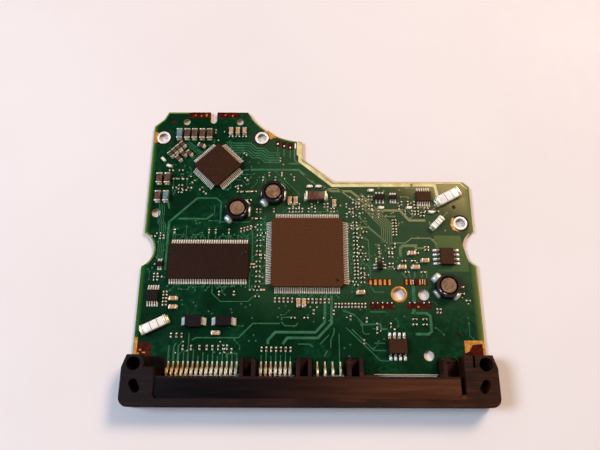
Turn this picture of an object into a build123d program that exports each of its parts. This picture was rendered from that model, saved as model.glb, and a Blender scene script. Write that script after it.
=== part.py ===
# Hard disk drive circuit board: a glass-fibre board with its drive controller, memory and motor
# driver, and a moulded power-and-data connector seated on its front edge.
#
# Lengths are millimetres. X runs along the connector, Y runs from the connector's mating face
# towards the far edge of the board, Z is up, on the component side.
# Everything is drawn from the middle of the mating face, with Z = 0 on the underside of the
# board, and is moved to the middle of the footprint when it is written.
import os
from math import radians, sqrt, tan

from build123d import *

# ---- board outline
board_width = 92.5
layout_width = 92.5           # board width that the places on it are drawn for
board_front = 8.2             # front edge, just behind the connector
board_back = 85.3             # far edge of the narrow end
board_thickness = 1.0
wide_end_back = 62.6          # far edge of the wide end
shoulder_width = 3.9          # cut-off far left corner
shoulder_depth = 4.9
shoulder_bend_x = 2.7         # bend in that cut, from the left edge and the far edge
shoulder_bend_y = 2.45
narrow_end_right = -18.4      # right end of the far edge
curve_radius = 19.4           # hollow edge that clears the spindle
step_back = 75.5
step_edge = -1.9              # side of the step between the two ends
step_front = 69.7
step_foot = 7.1               # where the slanting edge meets the wide end
corner_cut = 1.7
corner_radius = 0.8
edge_slot_x = -28.65
edge_slot_width = 1.9
edge_slot_depth = 3.8
side_notch_depth = 3.1
side_notch_chord = 9.8
left_notch_y = 41.9
right_notch_y = 42.4

# ---- holes and their copper lands
land_thickness = 0.05
screw_hole_radius = 1.35
screw_land_radius = 2.05
left_screw_inset = 2.95
left_screw_y = 76.7
middle_screw_x = -14.0
middle_screw_y = 76.7
right_screw_inset = 3.45
right_screw_y = 49.9
small_hole_radius = 1.0
small_hole_y = 82.0
small_hole_reach = 8.0        # each side of the edge slot
side_hole_radius = 1.25
side_hole_inset = 2.75
side_hole_y = 52.7
ringed_hole_radius = 1.6
ringed_land_radius = 2.25
ringed_hole = (24.4, 29.4)
feed_hole_radius = 1.5
feed_hole = (31.1, 29.3)
front_hole_radius = 1.35
front_hole = (31.4, 13.1)

# ---- connector housing
housing_width = 94.6
housing_height = 6.6
housing_depth = 7.4           # mating face to rear wall
ear_width = 8.4
ear_depth = 12.7
ear_taper = 1.1               # the ears narrow towards the board
ear_taper_start = 9.5
front_corner_radius = 2.3
top_chamfer = 0.3
rim_depth = 2.0               # lip along the mating face
rim_height = 0.5
deck_corner_radius = 1.2
shroud_floor = 0.9
shroud_roof = 0.8
shroud_depth = 5.6
relief_width = 1.2            # slot beside the right ear
relief_front = 3.0
relief_depth = 4.0
ear_hole_radius = 1.7
ear_hole_depth = 4.2
ear_hole_inset = 3.0
ear_hole_y = 10.4
boss_wall = 0.95              # round the ear hole, freed by a notch or a slit
ear_notch_depth = 3.1
ear_slit_width = 0.6
ear_pocket_length = 3.6
ear_pocket_width = 2.2
ear_pocket_depth = 2.6
ear_pocket_inset = 3.7
ear_pocket_y = 5.0
ear_pocket_turn = 60.0

# ---- tongues, terminals and board clips
terminal_pitch = 1.27
power_count = 15
signal_count = 7
segment_gap = 6.35            # last power terminal to first signal terminal
tongue_side_gap = 0.8
tongue_margin = 1.4           # end of a tongue to its nearest terminal
tongue_thickness = 1.2
tongue_front = 0.6
key_width = 1.1
key_height = 0.9
terminal_width = 0.5
terminal_thickness = 0.25
terminal_clearance = 0.03
terminal_setback = 0.5        # behind the tip of its tongue
terminal_knee = 1.8           # behind the rear wall
terminal_slope = 0.8
terminal_foot = 1.2
jumper_count = 4
jumper_pitch = 2.0
jumper_gap = 7.0              # last signal terminal to first jumper pin
jumper_pin = 0.5
jumper_margin = 1.6
jumper_setback = 1.0
clip_beyond_pins = 3.5        # last jumper pin to the third clip
clip_rib = 0.95
clip_slot = 2.05
clip_reach = 4.6
clip_clearance = 0.5
clip_nose_radius = 0.9
end_clip_inset = 4.0          # right-hand clip, from the relief slot
end_clip_hook = 2.0
board_clearance = 0.2

# ---- faces of the round shapes that nothing is fitted to
round_sides = 24
land_sides = 16
hidden_sides = 10

# ---- moulded packages
package_standoff = 0.1
package_draft = 9.0           # degrees, above and below the lead line
foot_length = 0.6
fine_lead_width = 0.3         # leads up to this wide have no bend in their upper face

left_edge = -board_width / 2
right_edge = board_width / 2
board_top = board_thickness
origin_y = board_back / 2

housing_left = -housing_width / 2
housing_right = housing_width / 2
inner_left = housing_left + ear_width
inner_right = housing_right - ear_width
deck = housing_height - rim_height
shroud_ceiling = deck - shroud_roof
tongue_bottom = (shroud_floor + shroud_ceiling - tongue_thickness) / 2

power_first = inner_left + tongue_side_gap + tongue_margin
power_last = power_first + (power_count - 1) * terminal_pitch
signal_first = power_last + segment_gap
signal_last = signal_first + (signal_count - 1) * terminal_pitch
shroud_right = signal_last + tongue_margin + tongue_side_gap
jumper_first = signal_last + jumper_gap
jumper_last = jumper_first + (jumper_count - 1) * jumper_pitch
clip_width = 2 * clip_rib + clip_slot
clip_centres = [
    (power_last + signal_first) / 2,
    (signal_last + jumper_first) / 2,
    jumper_last + clip_beyond_pins,
]


def place(solid, x, y, z=board_top, turn=0.0):
    return Pos(x, y, z) * Rot(0, 0, turn) * solid


def write(name, solids):
    """One STEP file for one node, moved to the middle of the footprint."""
    moved = [Pos(0, -origin_y, 0) * solid for solid in solids]
    shape = moved[0] if len(moved) == 1 else Compound(children=moved)
    export_step(shape, f"parts/{name}.step")


def block(width, depth, height):
    return Box(width, depth, height, align=(Align.CENTER, Align.CENTER, Align.MIN))


def span_box(x0, x1, y0, y1, z0, z1):
    corner = (Align.MIN, Align.MIN, Align.MIN)
    return Pos(x0, y0, z0) * Box(x1 - x0, y1 - y0, z1 - z0, align=corner)


def disc(radius, sides=round_sides):
    """Round outline that nothing is fitted to, drawn with few faces."""
    return RegularPolygon(radius, sides, major_radius=False)


def ring(outer, inner, height, sides):
    return extrude(disc(outer, sides) - disc(inner, sides), height)


def spread(x):
    """Place along the board, which moves with its width."""
    return x * board_width / layout_width


def seat(solid, x, y, turn=0.0):
    """Piece standing on the board, at a place of its layout."""
    return place(solid, spread(x), y, turn=turn)


def row(count, pitch):
    """Places of a centred row."""
    return [(i - (count - 1) / 2) * pitch for i in range(count)]


# ---------------------------------------------------------------- board


def screw_sites():
    return [
        (left_edge + left_screw_inset, left_screw_y),
        (spread(middle_screw_x), middle_screw_y),
        (right_edge - right_screw_inset, right_screw_y),
    ]


def plain_holes():
    small = [(spread(edge_slot_x) + side * small_hole_reach, small_hole_y) for side in (-1, 1)]
    holes = [(x, y, small_hole_radius) for x, y in small]
    holes.append((left_edge + side_hole_inset, side_hole_y, side_hole_radius))
    sites = [
        (ringed_hole, ringed_hole_radius),
        (feed_hole, feed_hole_radius),
        (front_hole, front_hole_radius),
    ]
    return holes + [(spread(x), y, radius) for (x, y), radius in sites]


def board_outline():
    """Narrow end at the far left, wide end at the right, a round notch in each side."""
    half = side_notch_chord / 2
    step_x = spread(step_edge)
    curve_start = (spread(narrow_end_right), board_back)
    curve_end = (step_x - corner_radius, step_back)
    edge = Polyline((left_edge, board_front), (left_edge, left_notch_y - half))
    edge += ThreePointArc(
        (left_edge, left_notch_y - half),
        (left_edge + side_notch_depth, left_notch_y),
        (left_edge, left_notch_y + half),
    )
    edge += Polyline(
        (left_edge, left_notch_y + half),
        (left_edge, board_back - shoulder_depth),
        (left_edge + shoulder_bend_x, board_back - shoulder_bend_y),
        (left_edge + shoulder_width, board_back),
        curve_start,
    )
    edge += RadiusArc(curve_start, curve_end, -curve_radius)
    edge += Polyline(
        curve_end,
        (step_x, step_back - corner_radius),
        (step_x, step_front),
        (spread(step_foot), wide_end_back),
        (right_edge - corner_cut, wide_end_back),
        (right_edge, wide_end_back - corner_cut),
        (right_edge, right_notch_y + half),
    )
    edge += ThreePointArc(
        (right_edge, right_notch_y + half),
        (right_edge - side_notch_depth, right_notch_y),
        (right_edge, right_notch_y - half),
    )
    edge += Polyline(
        (right_edge, right_notch_y - half),
        (right_edge, board_front),
        (left_edge, board_front),
    )
    return make_face(edge)


def clip_cutout(x, width):
    """Rounded cut-out in the front edge, open towards the connector."""
    reach = housing_depth + clip_reach + clip_clearance - board_front
    return Pos(x, board_front) * RectangleRounded(width, 2 * reach, clip_nose_radius)


def circuit_board():
    outline = board_outline()
    slot_reach = 2 * edge_slot_depth
    edge_slot = SlotOverall(slot_reach, edge_slot_width, rotation=90)
    outline -= Pos(spread(edge_slot_x), board_back) * edge_slot
    for x in clip_centres:
        outline -= clip_cutout(x, clip_width + 2 * clip_clearance)
    end_left = inner_right - relief_width - end_clip_inset - clip_clearance
    outline -= clip_cutout((end_left + inner_right) / 2, inner_right - end_left)
    for x, y in screw_sites():
        outline -= Pos(x, y) * Circle(screw_hole_radius)
    for x, y, radius in plain_holes():
        outline -= Pos(x, y) * disc(radius)
    return extrude(outline, board_thickness)


def hole_lands():
    """Plated rings round the screw holes and round the sensor hole."""
    screw_land = ring(screw_land_radius, screw_hole_radius, land_thickness, land_sides)
    sensor_land = ring(ringed_land_radius, ringed_hole_radius, land_thickness, land_sides)
    return [place(screw_land, x, y) for x, y in screw_sites()] + [seat(sensor_land, *ringed_hole)]


# ---------------------------------------------------------------- connector


def housing_outline():
    points = [
        (housing_left, 0),
        (housing_left, ear_taper_start),
        (housing_left + ear_taper, ear_depth),
        (inner_left, ear_depth),
        (inner_left, housing_depth),
        (inner_right, housing_depth),
        (inner_right, ear_depth),
        (housing_right - ear_taper, ear_depth),
        (housing_right, ear_taper_start),
        (housing_right, 0),
    ]
    outline = make_face(Polyline(*points, close=True))
    front = [v for v in outline.vertices() if abs(v.Y) < 0.01]
    return fillet(front, front_corner_radius)


def tongue(first, last):
    """Contact tongue with the upright key at its left end."""
    left = first - tongue_margin
    bar = span_box(
        left, last + tongue_margin,
        tongue_front, shroud_depth,
        tongue_bottom, tongue_bottom + tongue_thickness,
    )
    key = span_box(
        left, left + key_width,
        tongue_front, shroud_depth,
        tongue_bottom, tongue_bottom + tongue_thickness + key_height,
    )
    return bar + key


def terminal_slot(x, width, front, bottom, thickness):
    """Groove along a tongue that carries on as a slot through the rear wall."""
    gap = terminal_clearance
    return span_box(
        x - width / 2 - gap, x + width / 2 + gap,
        front, housing_depth,
        bottom - gap, bottom + thickness + gap,
    )


def clip(x):
    """Two upright ribs on a round-nosed foot that fits the cut-out in the board."""
    foot = Pos(x, housing_depth) * RectangleRounded(clip_width, 2 * clip_reach, clip_nose_radius)
    foot &= Pos(x, housing_depth + clip_reach / 2) * Rectangle(clip_width, clip_reach)
    body = extrude(foot, deck)
    pocket = span_box(
        x - clip_slot / 2, x + clip_slot / 2,
        housing_depth, housing_depth + clip_reach,
        board_thickness, housing_height,
    )
    return body - pocket


def end_clip():
    """Hooked clip between the board and the right ear, on a floor that fills the cut-out."""
    left = inner_right - relief_width - end_clip_inset
    back = housing_depth + clip_reach
    rib = span_box(left, left + clip_rib, housing_depth, back, 0, deck)
    hook = span_box(left, left + end_clip_hook, back - clip_rib, back, 0, deck)
    floor = span_box(left, inner_right - clip_clearance, housing_depth, back, 0, board_thickness)
    return rib + hook + floor


def ear_cuts(side):
    """Blind hole, moulded pocket, and the notch or slit that frees the boss round the hole."""
    edge = side * housing_width / 2
    hole_x = edge - side * ear_hole_inset
    pocket_x = edge - side * ear_pocket_inset
    bore = extrude(disc(ear_hole_radius), ear_hole_depth)
    hole = place(bore, hole_x, ear_hole_y, housing_height - ear_hole_depth)
    opening = SlotOverall(ear_pocket_length, ear_pocket_width, rotation=side * ear_pocket_turn)
    pocket = extrude(opening, ear_pocket_depth)
    hole += place(pocket, pocket_x, ear_pocket_y, housing_height - ear_pocket_depth)
    front = ear_depth - ear_notch_depth
    boss_radius = ear_hole_radius + boss_wall
    if side < 0:
        boss = place(extrude(disc(boss_radius), housing_height), hole_x, ear_hole_y)
        notch = span_box(hole_x, inner_left, front, ear_depth, board_top, housing_height)
        return hole + (notch - boss)
    right = hole_x - boss_radius
    return hole + span_box(right - ear_slit_width, right, front, ear_depth, board_top, housing_height)


def terminal_sites():
    power = [power_first + i * terminal_pitch for i in range(power_count)]
    signal = [signal_first + i * terminal_pitch for i in range(signal_count)]
    jumper = [jumper_first + i * jumper_pitch for i in range(jumper_count)]
    return power, signal, jumper


def connector_housing():
    body = extrude(housing_outline(), housing_height)
    body = chamfer(body.faces().sort_by(Axis.Z)[-1].edges(), top_chamfer)
    for side in (-1, 1):
        body -= ear_cuts(side)
    deck_right = inner_right - relief_width
    lowered = RectangleRounded(deck_right - inner_left, 2 * (housing_depth - rim_depth), deck_corner_radius)
    body -= Pos((inner_left + deck_right) / 2, housing_depth, deck) * extrude(lowered, rim_height)
    body -= span_box(
        deck_right, inner_right, relief_front, housing_depth,
        housing_height - relief_depth, housing_height,
    )
    body -= span_box(inner_left, shroud_right, 0, shroud_depth, shroud_floor, shroud_ceiling)
    body -= span_box(
        jumper_first - jumper_margin, jumper_last + jumper_margin,
        0, shroud_depth, shroud_floor, shroud_ceiling,
    )
    body += tongue(power_first, power_last)
    body += tongue(signal_first, signal_last)
    for x in clip_centres:
        body += clip(x)
    body += end_clip()
    body -= span_box(
        housing_left, housing_right,
        board_front - board_clearance, ear_depth, 0, board_thickness,
    ) - span_box(inner_left, inner_right, 0, ear_depth, 0, board_thickness)
    power, signal, jumper = terminal_sites()
    groove_front = tongue_front + terminal_setback - terminal_clearance
    for x in power + signal:
        body -= terminal_slot(x, terminal_width, groove_front, tongue_bottom, terminal_thickness)
    for x in jumper:
        body -= terminal_slot(x, jumper_pin, shroud_depth, tongue_bottom, jumper_pin)
    return body


def bent_strip(points, width):
    """Strip with the given side profile, (reach, height), centred on its own width."""
    profile = make_face(Polyline(*points, close=True))
    return Pos(-width / 2, 0, 0) * extrude(Plane.YZ * profile, amount=width, dir=(1, 0, 0))


def terminal(width, thickness, front, bottom):
    """Straight from the socket through the rear wall, then down to its foot on the board."""
    knee = housing_depth + terminal_knee
    heel = knee + terminal_slope
    tip = heel + terminal_foot
    points = [
        (front, bottom),
        (knee, bottom),
        (heel, board_top),
        (tip, board_top),
        (tip, board_top + thickness),
        (heel + thickness, board_top + thickness),
        (knee + thickness, bottom + thickness),
        (front, bottom + thickness),
    ]
    return bent_strip(points, width)


def connector_terminals():
    power, signal, jumper = terminal_sites()
    contact = terminal(terminal_width, terminal_thickness, tongue_front + terminal_setback, tongue_bottom)
    pin = terminal(jumper_pin, jumper_pin, jumper_setback, tongue_bottom)
    return {
        "power_terminals": [Pos(x, 0, 0) * contact for x in power],
        "signal_terminals": [Pos(x, 0, 0) * contact for x in signal],
        "jumper_pins": [Pos(x, 0, 0) * pin for x in jumper],
    }


# ---------------------------------------------------------------- moulded packages


def package_body(length, width, height, exit_height, lead_thickness, corner=0.0, dimple=None):
    """Straight band where the leads come out, drafted above and below, with a pin-one dimple."""
    def section(z, inset):
        face = Rectangle(length - 2 * inset, width - 2 * inset)
        if corner:
            face = chamfer(face.vertices(), corner)
        return Pos(0, 0, z) * face

    draft = tan(radians(package_draft))
    band_top = exit_height + lead_thickness
    lower = (exit_height - package_standoff) * draft
    upper = (package_standoff + height - band_top) * draft
    body = loft([section(package_standoff, lower), section(exit_height, 0)], ruled=True)
    body += extrude(section(exit_height, 0), lead_thickness)
    body += loft([section(band_top, 0), section(package_standoff + height, upper)], ruled=True)
    if dimple:
        dimple_x, dimple_y, radius, depth = dimple
        mark = extrude(disc(radius, hidden_sides), depth)
        body -= Pos(dimple_x, dimple_y, package_standoff + height - depth) * mark
    return body


def gull_wing(body_reach, reach, exit_height, thickness, width):
    """Lead that runs steeply down from the body to a foot flat on the board."""
    heel = body_reach + reach - foot_length
    tip = body_reach + reach
    points = [
        (body_reach, exit_height),
        (heel, 0),
        (tip, 0),
        (tip, thickness),
        (body_reach, exit_height + thickness),
    ]
    if width > fine_lead_width:
        points.insert(-1, (heel + thickness, thickness))
    return bent_strip(points, width)


def lead_side(lead, count, pitch, turn):
    return [Rot(0, 0, turn) * Pos(x, 0, 0) * lead for x in row(count, pitch)]


def write_package(name, site, size, lead, lead_count, sides, corner=0.0, dimple=None):
    """A moulded body in one node and its separate leads in another."""
    length, width, height = size
    pitch, lead_width, thickness, reach = lead
    exit_height = package_standoff + height / 2 - thickness / 2
    body = package_body(length, width, height, exit_height, thickness, corner, dimple)
    legs = []
    for side in sides:
        body_reach = width / 2 if side in (0, 180) else length / 2
        leg = gull_wing(body_reach, reach, exit_height, thickness, lead_width)
        legs += lead_side(leg, lead_count, pitch, side)
    write(f"{name}_body", [seat(body, *site)])
    write(f"{name}_leads", [seat(leg, *site) for leg in legs])


# site: x, y, turn; size: length, width, height; lead: pitch, width, thickness, reach past the body
packages = {
    "controller": dict(
        site=(-0.5, 41.0, 0), size=(20.0, 20.0, 1.4), lead=(0.5, 0.22, 0.15, 1.0), lead_count=36,
        sides=(0, 90, 180, 270), corner=0.7, dimple=(8.0, -8.2, 0.45, 0.12),
    ),
    "memory": dict(
        site=(-27.7, 38.4, 0), size=(22.2, 10.16, 1.0), lead=(0.65, 0.3, 0.15, 0.8), lead_count=33,
        sides=(0, 180), dimple=(9.6, 3.3, 0.5, 0.1),
    ),
    "motor_driver": dict(
        site=(-26.5, 67.3, 45), size=(10.0, 10.0, 1.4), lead=(0.5, 0.22, 0.15, 1.0), lead_count=16,
        sides=(0, 90, 180, 270), corner=0.5,
    ),
    "flash": dict(
        site=(23.2, 15.4, 0), size=(4.9, 3.9, 1.5), lead=(1.27, 0.42, 0.2, 1.05), lead_count=4,
        sides=(0, 180),
    ),
    "power_switch": dict(
        site=(38.0, 39.9, 90), size=(4.9, 3.9, 1.5), lead=(1.27, 0.42, 0.2, 1.05), lead_count=4,
        sides=(0, 180),
    ),
    "regulator": dict(
        site=(-42.3, 28.8, 0), size=(3.2, 3.2, 0.95), lead=(0.65, 0.28, 0.15, 0.85), lead_count=5,
        sides=(0, 180),
    ),
    "sensor_amplifier": dict(
        site=(32.8, 57.8, 0), size=(4.4, 3.2, 0.95), lead=(0.65, 0.28, 0.15, 0.75), lead_count=6,
        sides=(0, 180),
    ),
}

# size: length, width
transistors = [
    dict(site=(20.3, 57.6, 0), size=(2.9, 1.6), pitch=0.95, side_count=3),
    dict(site=(24.1, 57.5, 0), size=(2.0, 1.25), pitch=0.65, side_count=3),
    dict(site=(19.5, 37.2, 90), size=(2.0, 1.6), pitch=0.95, side_count=2),
    dict(site=(-41.2, 37.6, 0), size=(1.8, 1.3), pitch=0.65, side_count=2),
]
transistor_height = 1.0
transistor_exit = 0.5         # height of the leads at the body
transistor_lead = 0.5         # reach of a leg past the body
transistor_lead_width = 0.32
transistor_lead_thickness = 0.15


def write_transistors():
    bodies = []
    legs = []
    thickness = transistor_lead_thickness
    for part in transistors:
        length, width = part["size"]
        body = package_body(length, width, transistor_height, transistor_exit, thickness)
        bodies.append(seat(body, *part["site"]))
        reach = width / 2
        points = [
            (reach, transistor_exit),
            (reach + transistor_lead / 2, 0),
            (reach + transistor_lead, 0),
            (reach + transistor_lead, thickness),
            (reach, transistor_exit + thickness),
        ]
        leg = bent_strip(points, transistor_lead_width)
        for side in (0, 180):
            side_legs = lead_side(leg, part["side_count"], part["pitch"], side)
            legs += [seat(side_leg, *part["site"]) for side_leg in side_legs]
    write("transistor_bodies", bodies)
    write("transistor_leads", legs)


# ---------------------------------------------------------------- power inductors

inductor_sites = [(-10.2, 58.3, 0), (-20.2, 53.3, 0), (37.4, 31.3, 90)]
frame_size = 6.4
frame_corner = 1.9
frame_height = 2.9
frame_bore = 2.5
drum_radius = 2.05
drum_rim = 0.6
hub_radius = 1.0
winding_radius = 1.85
winding_clearance = 0.05
clip_strip_width = 1.8
clip_strip_thickness = 0.15
clip_tab = 0.9


def inductor_frame():
    outline = chamfer(Rectangle(frame_size, frame_size).vertices(), frame_corner)
    return extrude(outline - disc(frame_bore), frame_height)


def inductor_drum():
    """Ferrite bobbin: a round flange on a hub, flush with the top of its frame."""
    hub = extrude(disc(hub_radius, hidden_sides), frame_height - drum_rim)
    flange = extrude(disc(drum_radius), drum_rim)
    return hub + Pos(0, 0, frame_height - drum_rim) * flange


def inductor_winding():
    height = frame_height - drum_rim - 2 * winding_clearance
    coil = ring(winding_radius, hub_radius, height, hidden_sides)
    return Pos(0, 0, winding_clearance) * coil


def inductor_strip(turn):
    """Tinned strip up one cut corner of the frame, with a tab over the top and a foot."""
    flat = (frame_size - frame_corner) / sqrt(2)
    thickness = clip_strip_thickness
    points = [
        (flat, 0),
        (flat + clip_tab, 0),
        (flat + clip_tab, thickness),
        (flat + thickness, thickness),
        (flat + thickness, frame_height + thickness),
        (flat - clip_tab, frame_height + thickness),
        (flat - clip_tab, frame_height),
        (flat, frame_height),
    ]
    return Rot(0, 0, turn) * bent_strip(points, clip_strip_width)


def write_inductors():
    parts = {
        "inductor_frames": [inductor_frame()],
        "inductor_drums": [inductor_drum()],
        "inductor_windings": [inductor_winding()],
        "inductor_strips": [inductor_strip(-45), inductor_strip(135)],
    }
    for name, solids in parts.items():
        write(name, [seat(solid, *site) for site in inductor_sites for solid in solids])


# ---------------------------------------------------------------- surge diodes and shock sensors

surge_diodes = [(-30.7, 21.8, 4.4, 3.4), (-22.7, 21.8, 4.3, 2.7)]   # x, y, length, width
diode_height = 2.2
diode_tab_width = 2.0
diode_tab_thickness = 0.25
diode_tab_reach = 1.1

screw_sensor_gap = 6.7        # small sensor to the right-hand screw
screw_sensor_x = right_edge - right_screw_inset - screw_sensor_gap
shock_sensors = [                                         # x, y, turn, length, width
    (spread(-41.1), 20.8, 26, 7.4, 2.6),
    (spread(39.8), 57.7, 28, 7.6, 2.9),
    (screw_sensor_x, 49.7, 45, 4.4, 1.9),
]
sensor_height = 1.6
sensor_end = 0.9
sensor_step = 0.1


def write_diodes():
    """Block bodies with a flat tab folded down each end onto the board."""
    bodies = []
    tabs = []
    exit_height = package_standoff + diode_height / 2
    for x, y, length, width in surge_diodes:
        body = package_body(length, width, diode_height, exit_height, diode_tab_thickness)
        bodies.append(seat(body, x, y))
        reach = length / 2
        points = [
            (reach, exit_height),
            (reach + diode_tab_thickness, exit_height),
            (reach + diode_tab_thickness, diode_tab_thickness),
            (reach + diode_tab_thickness, 0),
            (reach + diode_tab_reach, 0),
            (reach + diode_tab_reach, diode_tab_thickness),
            (reach + 2 * diode_tab_thickness, diode_tab_thickness),
            (reach + 2 * diode_tab_thickness, exit_height + diode_tab_thickness),
            (reach, exit_height + diode_tab_thickness),
        ]
        tab = bent_strip(points, diode_tab_width)
        tabs += [seat(Rot(0, 0, side) * tab, x, y) for side in (90, -90)]
    write("surge_diode_bodies", bodies)
    write("surge_diode_tabs", tabs)


def write_shock_sensors():
    """White ceramic bars with a slightly larger plated cap on each end."""
    bars = []
    caps = []
    for x, y, turn, length, width in shock_sensors:
        bar = Pos(0, 0, sensor_step / 2) * block(
            length - 2 * sensor_end, width - sensor_step, sensor_height - sensor_step
        )
        bars.append(place(bar, x, y, turn=turn))
        for end in (-1, 1):
            cap = Pos(end * (length - sensor_end) / 2, 0, 0) * block(sensor_end, width, sensor_height)
            caps.append(place(cap, x, y, turn=turn))
    write("shock_sensor_bars", bars)
    write("shock_sensor_caps", caps)


# ---------------------------------------------------------------- chip components

# length, width, height, end cap
bulk_chip = (6.0, 2.7, 1.9, 0.6)
large_chip = (3.2, 1.6, 1.4, 0.45)
medium_chip = (2.0, 1.2, 1.0, 0.35)
small_chip = (1.0, 0.5, 0.4)
bead_chip = (1.5, 0.8, 0.7)
cap_step = 0.06

bulk_sites = [(2.0, 57.6, 0)]
large_brown_sites = [(x, 77.6, 90) for x in (-36.2, -34.0, -31.7, -29.5)] + [
    (-43.3, 63.2, 90), (-41.0, 63.2, 90), (-43.3, 57.6, 90),
]
large_blue_sites = [(-38.5, 77.6, 90), (-41.0, 57.6, 90)]
medium_tan_sites = [
    (-23.2, 78.8, 90), (-21.2, 78.8, 90), (-19.2, 78.8, 90), (-5.5, 56.5, 90), (-3.8, 56.5, 90),
    (7.2, 55.7, 90), (14.0, 29.8, 0), (28.4, 40.9, 0), (32.0, 38.8, 0), (25.6, 36.9, 0),
    (29.3, 36.9, 0), (-24.8, 18.8, 0), (-36.7, 28.0, 0), (-36.6, 25.7, 0), (-2.9, 27.0, 90),
    (-1.4, 26.9, 90),
]
medium_dark_sites = [(-40.6 + 1.1 * i, 70.9 + 1.1 * i, -45) for i in range(4)] + [
    (-38.2, 69.6, -45), (-36.9, 71.2, -45), (-35.1, 71.4, -45), (-31.8, 73.9, -20),
]


def line(x, y, step_x, step_y, count, turn):
    """Evenly spaced places of like chips."""
    return [(x + i * step_x, y + i * step_y, turn) for i in range(count)]


small_tan_sites = (
    line(-37.7, 47.2, 9.6, 0.0, 2, 90)
    + line(-26.2, 47.2, 3.7, 0.0, 2, 90)
    + line(-19.1, 47.6, 0.9, 0.25, 4, 90)
    + line(-33.2, 15.0, 2.2, 0.0, 3, 90)
    + line(-26.9, 15.0, 1.5, 0.0, 3, 90)
    + line(-36.5, 18.2, 1.4, 0.0, 3, 90)
    + line(-12.5, 14.6, 1.27, 0.0, 7, 90)
    + line(-9.2, 27.7, 1.15, 0.0, 5, 90)
    + line(-0.2, 27.5, 1.1, 0.0, 6, 90)
    + line(7.1, 26.3, 0.89, 0.0, 10, 90)
    + line(24.1, 46.3, 0.0, 0.87, 6, 0)
    + line(-39.0, 26.3, 0.0, 0.9, 5, 0)
    + line(-24.4, 29.5, 4.0, 0.0, 2, 90)
)
small_dark_sites = (
    line(-14.0, 32.8, 0.0, 1.4, 5, 0)
    + line(-14.0, 41.4, 0.0, 1.55, 6, 0)
    + line(13.0, 33.8, 0.0, 1.0, 6, 0)
    + line(13.0, 41.0, 0.0, 1.15, 8, 0)
    + line(14.7, 32.6, 0.0, 1.3, 4, 0)
    + line(-14.9, 53.4, 1.1, 0.0, 2, 90)
    + line(-23.2, 77.1, 2.0, 0.0, 3, 0)
    + line(-41.2, 45.1, 0.0, 0.8, 2, 0)
    + line(-42.0, 33.2, 0.0, 0.85, 3, 0)
    + line(-37.1, 59.0, 0.0, 1.1, 3, 0)
    + line(-4.3, 22.9, 3.5, 0.0, 2, 0)
    + line(28.2, 21.2, 0.0, 1.4, 2, 0)
    + line(30.9, 21.2, 0.0, 1.4, 2, 0)
    + line(34.4, 24.9, 0.9, 0.0, 2, 90)
    + line(26.2, 38.7, 2.6, 0.0, 2, 0)
    + line(32.2, 52.0, 0.2, 1.0, 2, 0)
    + line(-33.4, 62.4, 2.3, -2.2, 2, 45)
    + line(-30.0, 58.9, 9.2, 1.6, 2, -40)
    + line(-18.1, 63.2, -0.6, 8.0, 2, -45)
)
small_white_sites = [
    (17.8, 59.7, 0), (20.5, 54.4, 0), (28.5, 54.4, 0), (-42.7, 69.4, -45), (-40.8, 67.3, -20),
    (0.2, 60.9, 0), (2.7, 60.9, 0), (34.8, 53.1, 0),
]


def chip_parts(size, x, y, turn):
    """Ceramic body between two plated end caps that stand slightly proud of it."""
    length, width, height, end = size
    body = Pos(0, 0, cap_step / 2) * block(length - 2 * end, width - cap_step, height - cap_step)
    caps = [Pos(side * (length - end) / 2, 0, 0) * block(end, width, height) for side in (-1, 1)]
    return seat(body, x, y, turn), [seat(cap, x, y, turn) for cap in caps]


def write_chips():
    banks = {
        "bulk_capacitor": (bulk_chip, bulk_sites),
        "large_capacitors": (large_chip, large_brown_sites),
        "varistors": (large_chip, large_blue_sites),
        "medium_capacitors": (medium_chip, medium_tan_sites),
        "filter_capacitors": (medium_chip, medium_dark_sites),
    }
    end_caps = []
    for name, (size, sites) in banks.items():
        bodies = []
        for site in sites:
            body, caps = chip_parts(size, *site)
            bodies.append(body)
            end_caps += caps
        write(name, bodies)
    write("chip_end_caps", end_caps)
    small = block(*small_chip)
    bead = block(*bead_chip)
    write("small_capacitors", [seat(small, *site) for site in small_tan_sites])
    write("small_resistors", [seat(small, *site) for site in small_dark_sites])
    write("ferrite_beads", [seat(bead, *site) for site in small_white_sites])


# ---------------------------------------------------------------- bare copper contacts

finger_width = 1.1
finger_length = 1.9
finger_pitch = 1.5
finger_count = 4              # each side of the edge slot
probe_pad = (0.7, 1.9)
probe_pitch = 1.3
probe_count = 5
probe_banks = [(19.3, 32.7), (29.1, 32.8), (19.7, 26.3), (29.7, 26.4)]
motor_pads = [(-9.2, 74.9), (-7.3, 74.3), (-5.5, 73.9), (-4.1, 74.2)]
motor_pad = (0.9, 1.7)
ground_pads = {-1: (4.6, 3.3), 1: (5.4, 4.1)}    # size of the one on each side


def contact_pads():
    finger = block(finger_width, finger_length, land_thickness)
    probe = block(*probe_pad, land_thickness)
    motor = block(*motor_pad, land_thickness)
    finger_y = board_back - finger_length / 2
    ground_front = ear_depth + board_clearance
    pads = []
    for side in (-1, 1):
        for i in range(finger_count):
            reach = edge_slot_width / 2 + finger_pitch * (i + 0.5)
            pads.append(place(finger, spread(edge_slot_x) + side * reach, finger_y))
        length, depth = ground_pads[side]
        ground = block(length, depth, land_thickness)
        pads.append(place(ground, side * (right_edge - length / 2), ground_front + depth / 2))
    for x, y in probe_banks:
        pads += [place(probe, spread(x) + step, y) for step in row(probe_count, probe_pitch)]
    return pads + [seat(motor, x, y) for x, y in motor_pads]


os.makedirs("parts", exist_ok=True)
write("circuit_board", [circuit_board()])
write("connector_housing", [connector_housing()])
for terminal_name, strips in connector_terminals().items():
    write(terminal_name, strips)
for package_name, package in packages.items():
    write_package(package_name, **package)
write_transistors()
write_inductors()
write_diodes()
write_shock_sensors()
write_chips()
write("hole_lands", hole_lands())
write("contact_pads", contact_pads())
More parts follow.
